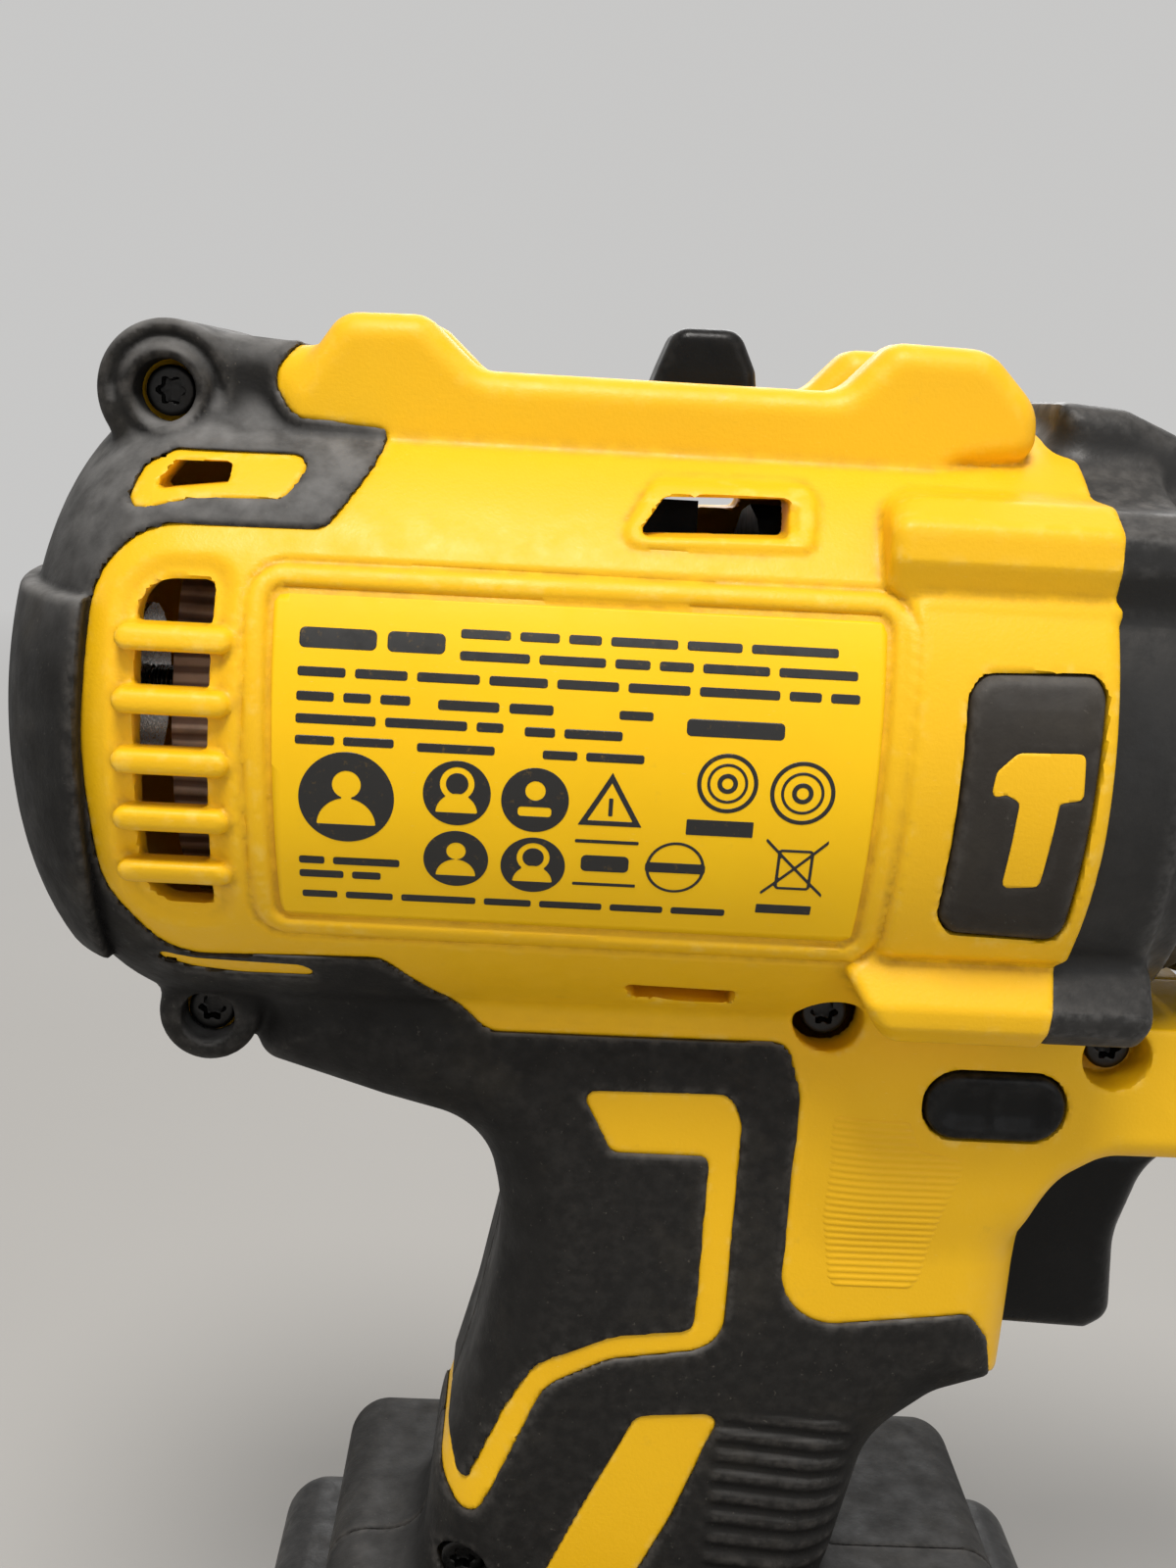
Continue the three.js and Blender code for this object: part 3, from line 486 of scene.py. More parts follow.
def lens_clear():
    p = Paint("lens_clear", (0.82, 0.86, 0.88), 0.12)
    p.shader.inputs["Transmission Weight"].default_value = 0.7
    p.shader.inputs["IOR"].default_value = 1.49
    p.blotches((0.6, 0.62, 0.6), 0.4, 3, 0.5, 0.8, 0.3)
    p.shine(0.06, 0.2, 0.6)
    return p.material


def ink():
    """Screen-printed black, thin in places."""
    p = Paint("label_ink", (0.012, 0.011, 0.010), 0.4)
    p.blotches((0.30, 0.17, 0.02), 1.4, 5, 0.6, 0.75, 0.35, 0.7)
    p.shine(0.35, 0.5, 0.8)
    return p.material


YELLOW = yellow_plastic()
FILM = yellow_plastic("label_film", (0.94, 0.555, 0.003), grain=0.01, specular=0.25)
RUBBER = black_rubber()
BADGE_RUBBER = black_rubber("badge_rubber", (0.026, 0.022, 0.018), dust_and_top_light_amount=0.4)
BLACK = black_plastic()
GLOSS_BLACK = black_plastic("glossy_black_plastic", (0.0035, 0.0035, 0.0035), (0.24, 0.42), 0.15)
INK = ink()
WHITE_INK = black_plastic("white_ink", (0.62, 0.60, 0.55), (0.4, 0.55))
STEEL = bare_metal("bright_steel", (0.55, 0.54, 0.52), (0.18, 0.42))
TURNED_STEEL = bare_metal("turned_steel", (0.42, 0.41, 0.40), (0.2, 0.45), (14, 1, 1), 1.5)
DARK_STEEL = bare_metal("black_oxide_steel", (0.035, 0.034, 0.033), (0.3, 0.5), stain=(0.03, 0.022, 0.015))
LAMINATION = striped("laminations", (0.33, 0.32, 0.31), (0.06, 0.055, 0.05), 2.0, 1.0, 0.4)
WINDING = striped("varnished_windings", (0.52, 0.36, 0.26), (0.20, 0.11, 0.07), 0.6, 0.2, 0.4, "Z")
BOARD = board_green()
BRASS = bare_metal("contact_brass", (0.62, 0.44, 0.17), (0.2, 0.4))
CELL = black_plastic("cell_sleeve", (0.08, 0.12, 0.16), (0.3, 0.45))
LENS = lens_clear()

NODE_MATERIALS = {
    "motor_stator": LAMINATION, "rotor": LAMINATION, "stator_windings": WINDING, "sensor_board": BOARD,
    "shift_bracket": DARK_STEEL, "chuck_screw": DARK_STEEL, "spindle": TURNED_STEEL,
    "chuck_body": TURNED_STEEL, "terminal_block": BRASS, "cell_pack": CELL, "led_lens": LENS,
    **dict.fromkeys(("rear_bearing", "front_bearing", "spindle_bearing", "motor_pinion", "ring_gear",
                     "carrier", "planet", "clutch_spring", "jaw_nut", "chuck_jaw"), STEEL),
}


def paint_nodes():
    """Every CAD node keeps its shape and gets the material whose key its name starts with."""
    for name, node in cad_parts.items():
        found = [key for key in NODE_MATERIALS if name == key or name.startswith(key + "_")]
        material = NODE_MATERIALS[max(found, key=len)] if found else BLACK
        node.data.materials.clear()
        node.data.materials.append(material)


paint_nodes()

# ---- The outer form of the shells ----
BARREL_R = 34.0
BARREL_FRONT = 49.4
SPLIT_GAP = 0.06
RUBBER_DEPTH = 1.2


def dome_outline(front, power=2.3):
    """The side outline of the barrel: a rounded rear end and a straight tube."""
    middle, length, steps = -38.0, 21.1, 26
    half = []
    for i in range(steps + 1):
        t = math.pi / 2 * i / steps
        x = middle - length * abs(math.cos(t)) ** (2 / power)
        half.append((x, BARREL_R * math.sin(t) ** (2 / power), 0))
    below = [(x, -r, 0) for x, r, _ in half[:0:-1]]
    return [(front, -BARREL_R, 0.8)] + below + half + [(front, BARREL_R, 0.8)]


def mirrored(points):
    """A closed outline about the u axis, from its upper half given front to back."""
    return points + [(u, -v, r) for u, v, r in reversed(points)]


BARREL = Flat(dome_outline(BARREL_FRONT))
BARREL_HOLLOW = Flat(mirrored([(62, 26, 0), (46.4, 26, 0.5), (46.4, 30, 1), (-56.5, 30, 18)]))
RAIL_SIDE = Flat([(-32.5, 20, 1), (-31.8, 33.5, 4), (-26.4, 41.4, 3.5), (-18, 41.6, 3), (-12.4, 36.5, 4),
                  (23.8, 36.5, 4), (28.6, 41.6, 3), (38.6, 41.4, 5), (43.9, 36, 5), (44.2, 30.6, 3.5),
                  (36, 29.4, 3), (30, 20, 1)])
ARM_SIDE = Flat([(-46, 22, 2), (-42.5, 38.6, 3), (-29.5, 37.8, 2), (-27, 22, 2)])
UPPER_BAR = Flat([(27.4, 14.0, 5), (27.4, 28.6, 5), (54, 28.6, 0), (54, 14.0, 0)])
UPPER_SECTION = Flat([(14, 27.9, 0), (26.6, 27.1, 2.2), (30.6, 24.8, 1.6), (31.0, 21.4, 0.7),
                      (29.2, 16.9, 0.4), (14, 16.9, 0)])
LOWER_BAR = Flat([(26.4, -16.6, 1), (27.4, -20.6, 2), (32.0, -28.0, 3), (36, -31, 1), (54, -31, 0),
                  (54, -16.6, 0)])
LOWER_SECTION = Flat([(14, -18.2, 0), (28.3, -18.2, 0.4), (31.3, -22.9, 1.0), (31.0, -25.2, 1.2),
                      (28.6, -27.6, 1.5), (14, -27.6, 0)])
GRIP_SIDE = Flat([(-34, -22, 3), (-34.5, -39.2, 3), (-20, -43.6, 12), (-8.4, -46.5, 13), (-5.2, -59, 30),
                  (-8.4, -76, 30), (-12.6, -92.5, 30), (-14.6, -118, 2), (30, -118, 2), (35.6, -101, 25),
                  (39, -84, 12), (46, -78, 6), (53.8, -75.2, 1.4), (54.0, -61, 9), (54.8, -49.2, 7),
                  (61.0, -45.3, 6), (73.2, -45.2, 3), (73.2, -24, 1)])
GRIP_HOLLOW = Flat([(-28, -26, 2), (-27, -35.5, 2), (-13, -40, 3), (-3.5, -48, 4), (-1.5, -58, 4),
                    (-4, -73, 4), (-8, -92, 4), (-10.5, -110, 0), (27, -110, 0), (31, -100, 4),
                    (34, -88.5, 4), (38.5, -78, 4), (49, -71, 2), (49, -26, 2)])
RUBBER_SIDE = Flat([(-85, 60, 0), (-28, 60, 0), (-28.6, 40.5, 2), (-33.2, 34.6, 2.6), (-30.4, 31.3, 2.5),
                    (-20.4, 30.6, 1.2), (-22.0, 26.4, 2), (-25.8, 20.6, 2.5), (-47.2, 20.3, 8.5),
                    (-48, 0, 30), (-46.6, -14.5, 8), (-40.5, -22.3, 7), (-19.6, -21.6, 3), (-14, -27.4, 6),
                    (-8.6, -32.8, 3), (24.4, -32.6, 2.5), (26.4, -39, 4), (25.9, -66.8, 6),
                    (47.6, -64.2, 2), (50.6, -68.2, 3), (52.6, -77, 0), (90, -82, 0), (90, -117.6, 0),
                    (-85, -117.6, 0)], step=0.4)
INLAY = Flat([(2.4, -39.9, 0.6), (18.2, -39.6, 2), (19.6, -42.8, 3), (19.2, -69.8, 4), (6.7, -71.7, 8),
              (-0.6, -75.6, 6), (-5.9, -89.4, 10), (-8.3, -94.6, 1.6), (-11.6, -91.2, 2), (-12.6, -86.8, 0.4),
              (-11.6, -86.8, 0.4), (-9.2, -92.2, 1.2), (-4.6, -80, 10), (-1.2, -73.2, 6), (7, -69.4, 8),
              (16.6, -68.2, 2), (16.8, -46.4, 1.2), (5.8, -46.4, 1)])
WEDGE = Flat([(10.6, -79.6, 1.5), (19.8, -78.9, 1), (14.8, -93, 20), (8.2, -107, 2), (-1.5, -107, 2),
              (4.6, -93, 12)])
ARM_PANEL = Flat([(-45.3, 21.9, 0.8), (-44.2, 25.4, 1.2), (-41.6, 27.0, 1.2), (-28.4, 27.2, 0.9),
                  (-30.4, 23.7, 1.0), (-39.2, 23.3, 3), (-42.6, 22.4, 2)])
ARM_VENT = Flat([(-43.2, 23.5, 0.4), (-41.3, 26.3, 0.8), (-35.9, 26.4, 0.3), (-35.9, 24.5, 0.3)])
SLIT = Flat([(-44.5, -22.4, 0.3), (-38.5, -23.5, 3), (-27.9, -23.9, 0.3), (-26.4, -25.0, 0.3),
             (-34, -25.1, 3), (-39, -24.4, 3)])
LABEL_SIDE = Flat([(-31.0, 15.8, 1.6), (28.4, 16.1, 1.6), (27.9, -17.6, 1.6), (-29.9, -17.2, 1.6)])
PANEL_SIDE = Flat([(29.8, 17.8, 1.5), (54, 18.0, 0), (54, -18.2, 0), (30.2, -18.2, 1.5)])
BADGE_SIDE = Flat([(36.6, 11.2, 2.6), (47.6, 11.6, 1.8), (48.5, 9.8, 2), (47.7, -13.6, 2), (46.8, -15.2, 1.6),
                   (36.4, -14.8, 1.8), (35.0, -12.8, 1.8), (35.5, 9.2, 2)])
WINDOW_FRAME = Flat([(1.6, 20.9, 1.2), (5.2, 26.9, 1.5), (21.2, 27.1, 1.3), (20.6, 21.3, 1.3)])
WINDOW = Flat([(3.5, 21.8, 0.5), (6.2, 25.5, 0.8), (18.6, 25.9, 0.6), (18.2, 22.3, 0.6)])
LOWER_SLOT = Flat([(5.1, -24.6, 0.4), (17.2, -24.9, 0.4), (16.9, -27.2, 0.4), (6.7, -26.9, 0.4)])
BUTTON_SIDE = Flat([(39.6, -35.0, 3.9), (55.2, -35.0, 3.9), (55.2, -42.8, 3.9), (39.6, -42.8, 3.9)])
VENT_SIDE = Flat([(-43.2, 15.6, 7.0), (-35.9, 15.8, 0.8), (-35.9, -16.2, 0.8), (-42.6, -16.0, 6.6)])
VENT_BARS = [10.5, 4.7, -1.0, -6.7, -12.3]
BUMPER_Z, BUMPER_HALF, BUMPER_FRONT, BUMPER_PROUD = -5.7, 18.8, -48.4, 1.7
RAIL_Y, RAIL_HALF = 12.9, 4.4
ARM_HALF, GRIP_HALF, HOOD_HALF, BOSS_HALF = 14.5, 16.2, 17.6, 15.5
REAR_BOSSES = ((-43.7, 32.8, 6.6), (-39.1, -33.1, 5.0))
FOOT_BOX = ((17, 0, -116.2), (43, 32, 7.8))


def front_of(z):
    """Where the yellow shell ends and the gear case starts: the joint leans back below the spindle."""
    return BARREL_FRONT + 0.075 * np.clip(z + 4, -26, 0)


def gentle(value, width):
    """1 inside an outline and 0 outside, with a soft step of that width at its edge."""
    t = np.clip(0.5 - value / width, 0, 1)
    return t * t * (3 - 2 * t)


def form(x, y, z):
    """The whole outside of the two shells with their rubber: barrel, rails, bars, grip, hood and foot."""
    a = np.abs(y)
    r = np.hypot(a, z)
    barrel = BARREL(x, r)
    bumper = np.maximum(np.abs(z - BUMPER_Z) - BUMPER_HALF, x - BUMPER_FRONT)
    body = smin(barrel, smax(barrel - BUMPER_PROUD, bumper, 1.0), 0.3)
    rail = rounded_pair(RAIL_SIDE(x, z), np.abs(a - RAIL_Y) - RAIL_HALF, 2.6)
    body = smin(body, rail, 0.7)
    arm = rounded_pair(ARM_SIDE(x, z), a - ARM_HALF, 3.0)
    body = smin(body, arm, 3.0)
    upper = rounded_pair(UPPER_BAR(x, z), UPPER_SECTION(a, z), 1.6)
    lower = rounded_pair(LOWER_BAR(x, z), LOWER_SECTION(a, z), 1.4)
    body = smin(body, np.minimum(upper, lower), 0.6)
    palm_swell = 0.8 * np.exp(-((z + 64) / 16) ** 2)
    grip = rounded_pair(GRIP_SIDE(x, z), a - (GRIP_HALF + palm_swell), 9.0)
    hood = rounded_pair(GRIP_SIDE(x, z), a - HOOD_HALF, 3.6)
    hood = smax(hood, -(z + 56) * 0.8, 6)
    hood = smax(hood, 27 - x, 9)
    body = smin(body, smin(grip, hood, 2.5), 2.5)
    foot = box(x, y, z, *FOOT_BOX, 5.0)
    body = smin(body, foot, 6.0)
    for bx, bz, br in REAR_BOSSES:
        boss = rounded_pair(np.hypot(x - bx, z - bz) - br, a - BOSS_HALF, 1.4)
        body = smin(body, boss, 1.6)
    gear_seat = np.maximum(front_of(z) - x, -29.1 - z)
    return smax(body, -gear_seat, 0.5)


def rubber_side(x, z):
    """Distance to where the rubber shows, seen from the side: inlays and panels are left out of it."""
    d = RUBBER_SIDE(x, z)
    for hole in (INLAY, WEDGE, ARM_PANEL, SLIT):
        d = np.maximum(d, -hole(x, z))
    return d


# ---- Screws ----
SCREW_HOLES = {"rear_top": 3.1, "rear_bottom": 2.9, "middle": 3.8, "front": 3.8, "grip": 3.0, "foot": 3.1}
HEAD_R, HEAD_DEPTH, SHANK_R, SHANK_HOLE_R = 2.55, 2.4, 1.55, 1.9


def screw_places():
    """Each screw's key, hole radius, x, head y, end y and z, from its CAD box."""
    for key, hole in SCREW_HOLES.items():
        low, high = (np.array(c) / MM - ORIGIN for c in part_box("screw_" + key))
        yield key, hole, (low[0] + high[0]) / 2, low[1], high[1], (low[2] + high[2]) / 2


SCREWS = list(screw_places())


def screw_ways(x, y, z):
    """The wide holes down to the screw heads, and the narrow ones round their shanks."""
    d = np.full(x.shape, 1e3)
    for _, hole, sx, head, end, sz in SCREWS:
        r = np.hypot(x - sx, z - sz)
        d = np.minimum(d, smax(r - hole, y - (head + HEAD_DEPTH), 0.3))
        d = np.minimum(d, np.maximum(r - SHANK_HOLE_R, y - end - 0.3))
    return d


# ---- The yellow shells ----


KNOB_OPENING = ((7.5, 0, 40), (11.7, 5.5, 12))
TRIGGER_OPENING = ((59.4, 0, -59.7), (21.6, 8.2, 13.2))
LAMP_OPENING = ((75, 0, -39.5), (5.2, 5.3, 2.8))


def openings(x, y, z):
    """All that goes through the shells: vents, window, slots, knob, trigger, button and lamp."""
    a = np.abs(y)
    vents = np.maximum(VENT_SIDE(x, z), 24 - a)
    cuts = np.minimum(vents, np.maximum(WINDOW(x, z), 12 - a))
    cuts = np.minimum(cuts, np.maximum(ARM_VENT(x, z), 5 - a))
    cuts = np.minimum(cuts, box(x, y, z, *KNOB_OPENING, 0.6))
    cuts = np.minimum(cuts, box(x, y, z, *TRIGGER_OPENING, 0.8))
    cuts = np.minimum(cuts, BUTTON_SIDE(x, z) - 0.25)
    cuts = np.minimum(cuts, np.maximum(LOWER_SLOT(x, z), 16.5 - a))
    return np.minimum(cuts, box(x, y, z, *LAMP_OPENING, 0.2))


def vent_bars(x, y, z):
    """Rounded bars across the rear vents, standing a little proud of the barrel."""
    r = np.hypot(y, z)
    d = np.full(x.shape, 1e3)
    for bz in VENT_BARS:
        across = np.hypot(np.maximum(np.abs(x + 39.2) - 4.3, 0), z - bz) - 1.2
        d = np.minimum(d, rounded_pair(across, np.abs(r - 32.9) - 2.0, 0.9))
    return np.where(np.abs(y) > 20, d, 1e3)


def hollow(x, y, z):
    """The room inside: the barrel, the grip, and the foot's bay for the battery's rails."""
    a = np.abs(y)
    barrel = BARREL_HOLLOW(x, np.hypot(a, z))
    grip = rounded_pair(GRIP_HOLLOW(x, z), a - 12.5, 3)
    bay = np.minimum(box(x, y, z, (43, 0, -116.2), (65, 23, 3.2), 0.4),
                     box(x, y, z, (43, 0, -123), (65, 19.6, 5), 0.4))
    rear_wall = -22 - x
    return np.minimum(np.minimum(barrel, grip), np.maximum(bay, rear_wall))


def rubber_linings(x, y, z):
    """Where the rubber runs down inside a screw hole of the right shell."""
    d = np.full(x.shape, 1e3)
    for key, hole, sx, head, _, sz in SCREWS:
        if key not in ("middle", "front"):
            d = np.minimum(d, np.maximum(np.hypot(x - sx, z - sz) - hole - 1.3, y - head - 1.8))
    return d


def core(x, y, z):
    """The outside of the hard shell: set back where the rubber covers it."""
    f = form(x, y, z)
    under = np.clip((-rubber_side(x, z) - 0.25) / 0.9, 0, 1)
    f = f + RUBBER_DEPTH * under
    f = f - 0.8 * gentle(PANEL_SIDE(x, z), 1.6) * (np.abs(y) > 20)
    frame_edge = gentle(np.abs(WINDOW_FRAME(x, z) + 0.9) - 0.9, 0.8) * (np.abs(y) > 14)
    f = f - 0.55 * frame_edge
    dish = gentle(VENT_SIDE(x, z) - 1.6, 2.4) * (np.abs(y) > 20)
    f = f + 0.8 * dish
    return np.maximum(f, -rubber_linings(x, y, z))


def flank_cuts(f, x, y, z):
    """The vents with their bars, the window, and the seat of the mode badge."""
    f = smax(f, -openings(x, y, z), 0.35)
    f = smin(f, vent_bars(x, y, z), 0.5)
    return smax(f, -np.maximum(BADGE_SIDE(x, z) - 0.18, 32.3 - np.hypot(y, z)), 0.3)


def label_seat(x, z):
    """A shallow bed with a bead round it, and a fine line outside the bead."""
    side = LABEL_SIDE(x, z)
    bead = gentle(np.abs(side - 1.0) - 0.6, 0.7)
    line = gentle(np.abs(side - 2.1) - 0.25, 0.5)
    return 0.5 * gentle(side, 0.5) - 0.2 * bead + 0.28 * line


def yellow_right(x, y, z):
    f = core(x, y, z) + label_seat(x, z) * (y < -20)
    f = flank_cuts(f, x, y, z)
    f = smax(f, -screw_ways(x, y, z), 0.4)
    return smax(np.maximum(f, -hollow(x, y, z)), y + SPLIT_GAP, 0.25)


def yellow_left(x, y, z):
    f = flank_cuts(core(x, y, z), x, y, z)
    return smax(np.maximum(f, -hollow(x, y, z)), -y + SPLIT_GAP, 0.25)


# ---- The rubber ----
GRIP_RIBS = 8


def grip_ribs(x, z):
    """Short raised ribs across the front of the grip, beside the yellow wedge."""
    run = (z + 79) * 0.995 + (x - 26) * 0.1
    pitch = 2.75
    inside = box(x, np.zeros_like(x), z, (27.5, 0, -89.5), (7.8, 9, GRIP_RIBS * pitch / 2), 2)
    wave = np.cos(run * math.tau / pitch)
    return np.clip(wave * 1.4, -1, 1) * gentle(inside, 2.0)


def rubber_skin(x, y, z):
    """The outside of the rubber, which stands a little above the yellow with a rounded edge."""
    f = form(x, y, z) - 0.22 * grip_ribs(x, z)
    return smax(f - 0.45, rubber_side(x, z) + 0.12, 0.9)


def boss_ring(x, y, z):
    """The lip round the upper rear screw hole, and the moat between it and the ear's outer wall."""
    _, hole, sx, _, _, sz = SCREWS[0]
    r = np.hypot(x - sx, z - sz)
    lip = 0.45 * np.exp(-((r - hole - 0.7) / 0.6) ** 2)
    moat = 0.9 * np.exp(-((r - hole - 2.2) / 0.7) ** 2) * np.clip((z - sz + 1.5) / 2.0, 0, 1)
    return (moat - lip) * (y < -12)


def rubber_right(x, y, z):
    f = np.maximum(rubber_skin(x, y, z) + boss_ring(x, y, z), 0.05 - core(x, y, z))
    f = smax(f, -openings(x, y, z), 0.3)
    f = smax(f, -screw_ways(x, y, z), 0.5)
    f = np.maximum(f, -hollow(x, y, z))
    return smax(f, y + SPLIT_GAP, 0.3)


def rubber_left(x, y, z):
    f = np.maximum(rubber_skin(x, y, z), 0.05 - core(x, y, z))
    f = smax(f, -openings(x, y, z), 0.3)
    f = np.maximum(f, -hollow(x, y, z))
    return smax(f, -y + SPLIT_GAP, 0.3)


def shells():
    """The clamshells and their rubber. The photographed right side has the finer mesh."""
    low, high = (-65, -37, -126), (76, 0.5, 44)
    left_low, left_high = (-65, -0.5, -126), (76, 37, 44)
    sdf_piece("housing_shell_right", yellow_right, low, high, YELLOW, "root", "housing_right",
              h=0.75 * FINE)
    sdf_piece("housing_shell_left", yellow_left, left_low, left_high, YELLOW, "root", "housing_left")
    sdf_piece("rubber_cover_right", rubber_right, low, high, RUBBER, "root", "overmould_right",
              h=0.82 * FINE)
    sdf_piece("rubber_cover_left", rubber_left, left_low, left_high, RUBBER, "root", "overmould_left")


shells()


# ---- Pieces wrapped on the barrel's flank, drawn flat as shapes in x and arc length ----


def contour(inside, low, high, step):
    """Flat polygons that fill inside(u, v) < 0, with smooth edges, by marching squares."""
    u = np.arange(low[0], high[0] + step, step)
    v = np.arange(low[1], high[1] + step, step)
    uu, vv = np.meshgrid(u, v, indexing="ij")
    g = inside(uu, vv)
    nv = len(v)
    ids = np.arange(uu.size).reshape(uu.shape)
    ring = [(slice(None, -1), slice(None, -1)), (slice(1, None), slice(None, -1)),
            (slice(1, None), slice(1, None)), (slice(None, -1), slice(1, None))]
    corner_ids = np.stack([ids[s].ravel() for s in ring], 1)
    values = np.stack([g[s].ravel() for s in ring], 1)
    case = ((values < 0) * [1, 2, 4, 8]).sum(1)
    points, faces, known = [], [], {}

    def point(a, b):
        key = (min(a, b), max(a, b))
        if key not in known:
            known[key] = len(points)
            ga, gb = g.flat[key[0]], g.flat[key[1]]
            t = 0 if key[0] == key[1] else ga / (ga - gb)
            spots = [(u[k // nv], v[k % nv]) for k in key]
            points.append([spots[0][i] + t * (spots[1][i] - spots[0][i]) for i in (0, 1)])
        return known[key]

    for c in np.nonzero(case)[0]:
        ring_ids, ring_values = corner_ids[c], values[c]
        face = []
        for i in range(4):
            j = (i + 1) % 4
            if ring_values[i] < 0:
                face.append(point(ring_ids[i], ring_ids[i]))
            if (ring_values[i] < 0) != (ring_values[j] < 0):
                face.append(point(ring_ids[i], ring_ids[j]))
        if len(face) >= 3:
            faces.append(face)
    return np.array(points), faces


def wrap(points, radius, side):
    """From (x, arc) on a cylinder about the spindle, arc up from the flank's middle, to space."""
    angle = points[:, 1] / radius
    return np.stack([points[:, 0], side * radius * np.cos(angle), radius * np.sin(angle)], 1)


def flank_sheet(name, inside, low, high, step, radius, thickness, side, material, node=None):
    flat, faces = contour(inside, low, high, step)
    if side > 0:
        faces = [f[::-1] for f in faces]
    piece = make_piece(name, wrap(flat, radius, side), faces, material, "root", node, smooth=60)
    thicken(piece, thickness, -1)


LABEL_R = BARREL_R - 0.12


def label_inside(x, s):
    return LABEL_SIDE(x, LABEL_R * np.sin(s / LABEL_R)) + 0.75


def bar(u, v, u0, u1, middle, height, r=0.0):
    """A level bar from u0 to u1, with corners of radius r."""
    across = np.abs(u - (u0 + u1) / 2) - (u1 - u0) / 2 + r
    up = np.abs(v - middle) - height / 2 + r
    return np.hypot(np.maximum(across, 0), np.maximum(up, 0)) + np.minimum(np.maximum(across, up), 0) - r


def word_bars(u, v, start, end, middle, height, seed):
    """A line of print reduced to plain rounded bars, one to a word: it spells nothing."""
    rng = np.random.default_rng(seed)
    d = np.full(u.shape, 1e3)
    x = start
    while x < end - height:
        stop = min(x + height * rng.uniform(1.6, 5.2), end)
        d = np.minimum(d, bar(u, v, x, stop, middle, height * 0.56, height * 0.16))
        x = stop + height * 0.55
    return d


def disc(u, v, cu, cv, r):
    return np.hypot(u - cu, v - cv) - r


def seal(u, v, cu, cv, r):
    """Three plain rings, one inside another."""
    d = np.abs(disc(u, v, cu, cv, r - 0.2)) - 0.2
    d = np.minimum(d, np.abs(disc(u, v, cu, cv, r * 0.62)) - RING_LINE)
    return np.minimum(d, np.abs(disc(u, v, cu, cv, r * 0.26)) - 0.22)


def safety_disc(u, v, cu, cv, r, kind):
    """A solid disc with a plain light figure of bars and dots left out of its middle."""
    head = disc(u, v, cu, cv + r * 0.3, r * 0.3)
    shoulders = np.maximum(disc(u, v, cu, cv - r * 0.62, r * 0.62), (cv - r * 0.6) - v)
    if kind == 1:
        head = np.abs(head - r * 0.12) - r * 0.09
    if kind == 2:
        shoulders = bar(u, v, cu - r * 0.5, cu + r * 0.5, cv - r * 0.35, r * 0.3, r * 0.1)
    light = np.minimum(head, shoulders)
    return np.maximum(disc(u, v, cu, cv, r), -light)


# Lines of print: start, end, middle height and height of each.
PRINT_LINES = [(-27.6, -20.4, 11.5, 3.5), (-19.4, -14.0, 11.5, 3.5), (-12.6, 25.4, 12.6, 1.6),
               (-12.6, 25.2, 10.5, 1.6), (-27.6, 25.2, 8.3, 1.6), (-27.6, -17.0, 6.0, 1.6),
               (-14.4, -3.6, 5.8, 1.7), (2.6, 5.8, 5.7, 1.5), (-27.6, -8.2, 3.9, 1.6), (-6.2, 5.4, 3.7, 1.6),
               (-27.6, -18.3, 1.9, 1.5), (-16.2, -6.8, 1.7, 1.5), (-4.4, 7.0, 1.6, 1.5),
               (9.0, 19.8, 4.9, 2.9), (-27.2, -17.6, -10.3, 1.5), (-27.2, -19.4, -11.9, 1.5),
               (-27.0, 16.2, -14.4, 1.5), (-0.2, 4.4, -9.2, 3.2)]
SAFETY_DISCS = [(-22.7, -3.6, 4.5, 0), (-12.3, -2.6, 3.2, 1), (-4.9, -2.9, 3.2, 2), (-12.2, -9.5, 3.1, 0),
                (-4.8, -9.8, 3.1, 1)]
PRINT_BLOCKS = [(9.6, 16.0, -4.8, 1.6), (17.2, 22.6, -13.6, 1.1), (-0.9, 5.2, -6.8, 0.35),
                (-0.9, 5.2, -11.6, 0.35), (2.1, 2.5, -3.2, 1.8)]
RING_LINE = 0.14


def print_inside(u, v):
    """All that is printed on the rating label, as plain shapes: no words, names, marks or numbers."""
    d = np.full(u.shape, 1e3)
    for i, (start, end, middle, height) in enumerate(PRINT_LINES):
        d = np.minimum(d, word_bars(u, v, start, end, middle, height, 20 + i))
    for cu, cv, r, kind in SAFETY_DISCS:
        d = np.minimum(d, safety_disc(u, v, cu, cv, r, kind))
    for u0, u1, at, height in PRINT_BLOCKS:
        d = np.minimum(d, bar(u, v, u0, u1, at, height))
    triangle = np.maximum(np.abs(u - 2.3) * 0.87 + (v + 2.5) * 0.5 - 1.35, -5.1 - v)
    d = np.minimum(d, np.abs(triangle + 0.25) - 0.25)
    d = np.minimum(d, seal(u, v, 13.2, -0.3, 2.9))
    d = np.minimum(d, seal(u, v, 20.4, -0.9, 3.1))
    d = np.minimum(d, np.abs(disc(u, v, 8.9, -9.3, 2.7)) - RING_LINE)
    d = np.minimum(d, bar(u, v, 6.0, 11.8, -9.3, 1.1, 0.3))
    crossed_box = np.abs(bar(u, v, 18.8, 22.0, -8.9, 4.2, 0.3)) - RING_LINE
    for way in (-1, 1):
        stroke = np.maximum(np.abs((u - 20.4) - way * (v + 8.7)) - 0.2, np.abs(u - 20.4) - 3)
        crossed_box = np.minimum(crossed_box, stroke)
    return np.minimum(d, crossed_box)


def rating_label():
    """The printed film on the right flank."""
    low, high = (-31.5, -19.5), (28.5, 17.5)
    flank_sheet("label_film", label_inside, low, high, 0.9, LABEL_R, 0.25, -1, FILM, "rating_label")
    step = cell_size(0.13)
    flank_sheet("label_print", print_inside, low, high, step, LABEL_R + 0.035, 0.03, -1, INK)


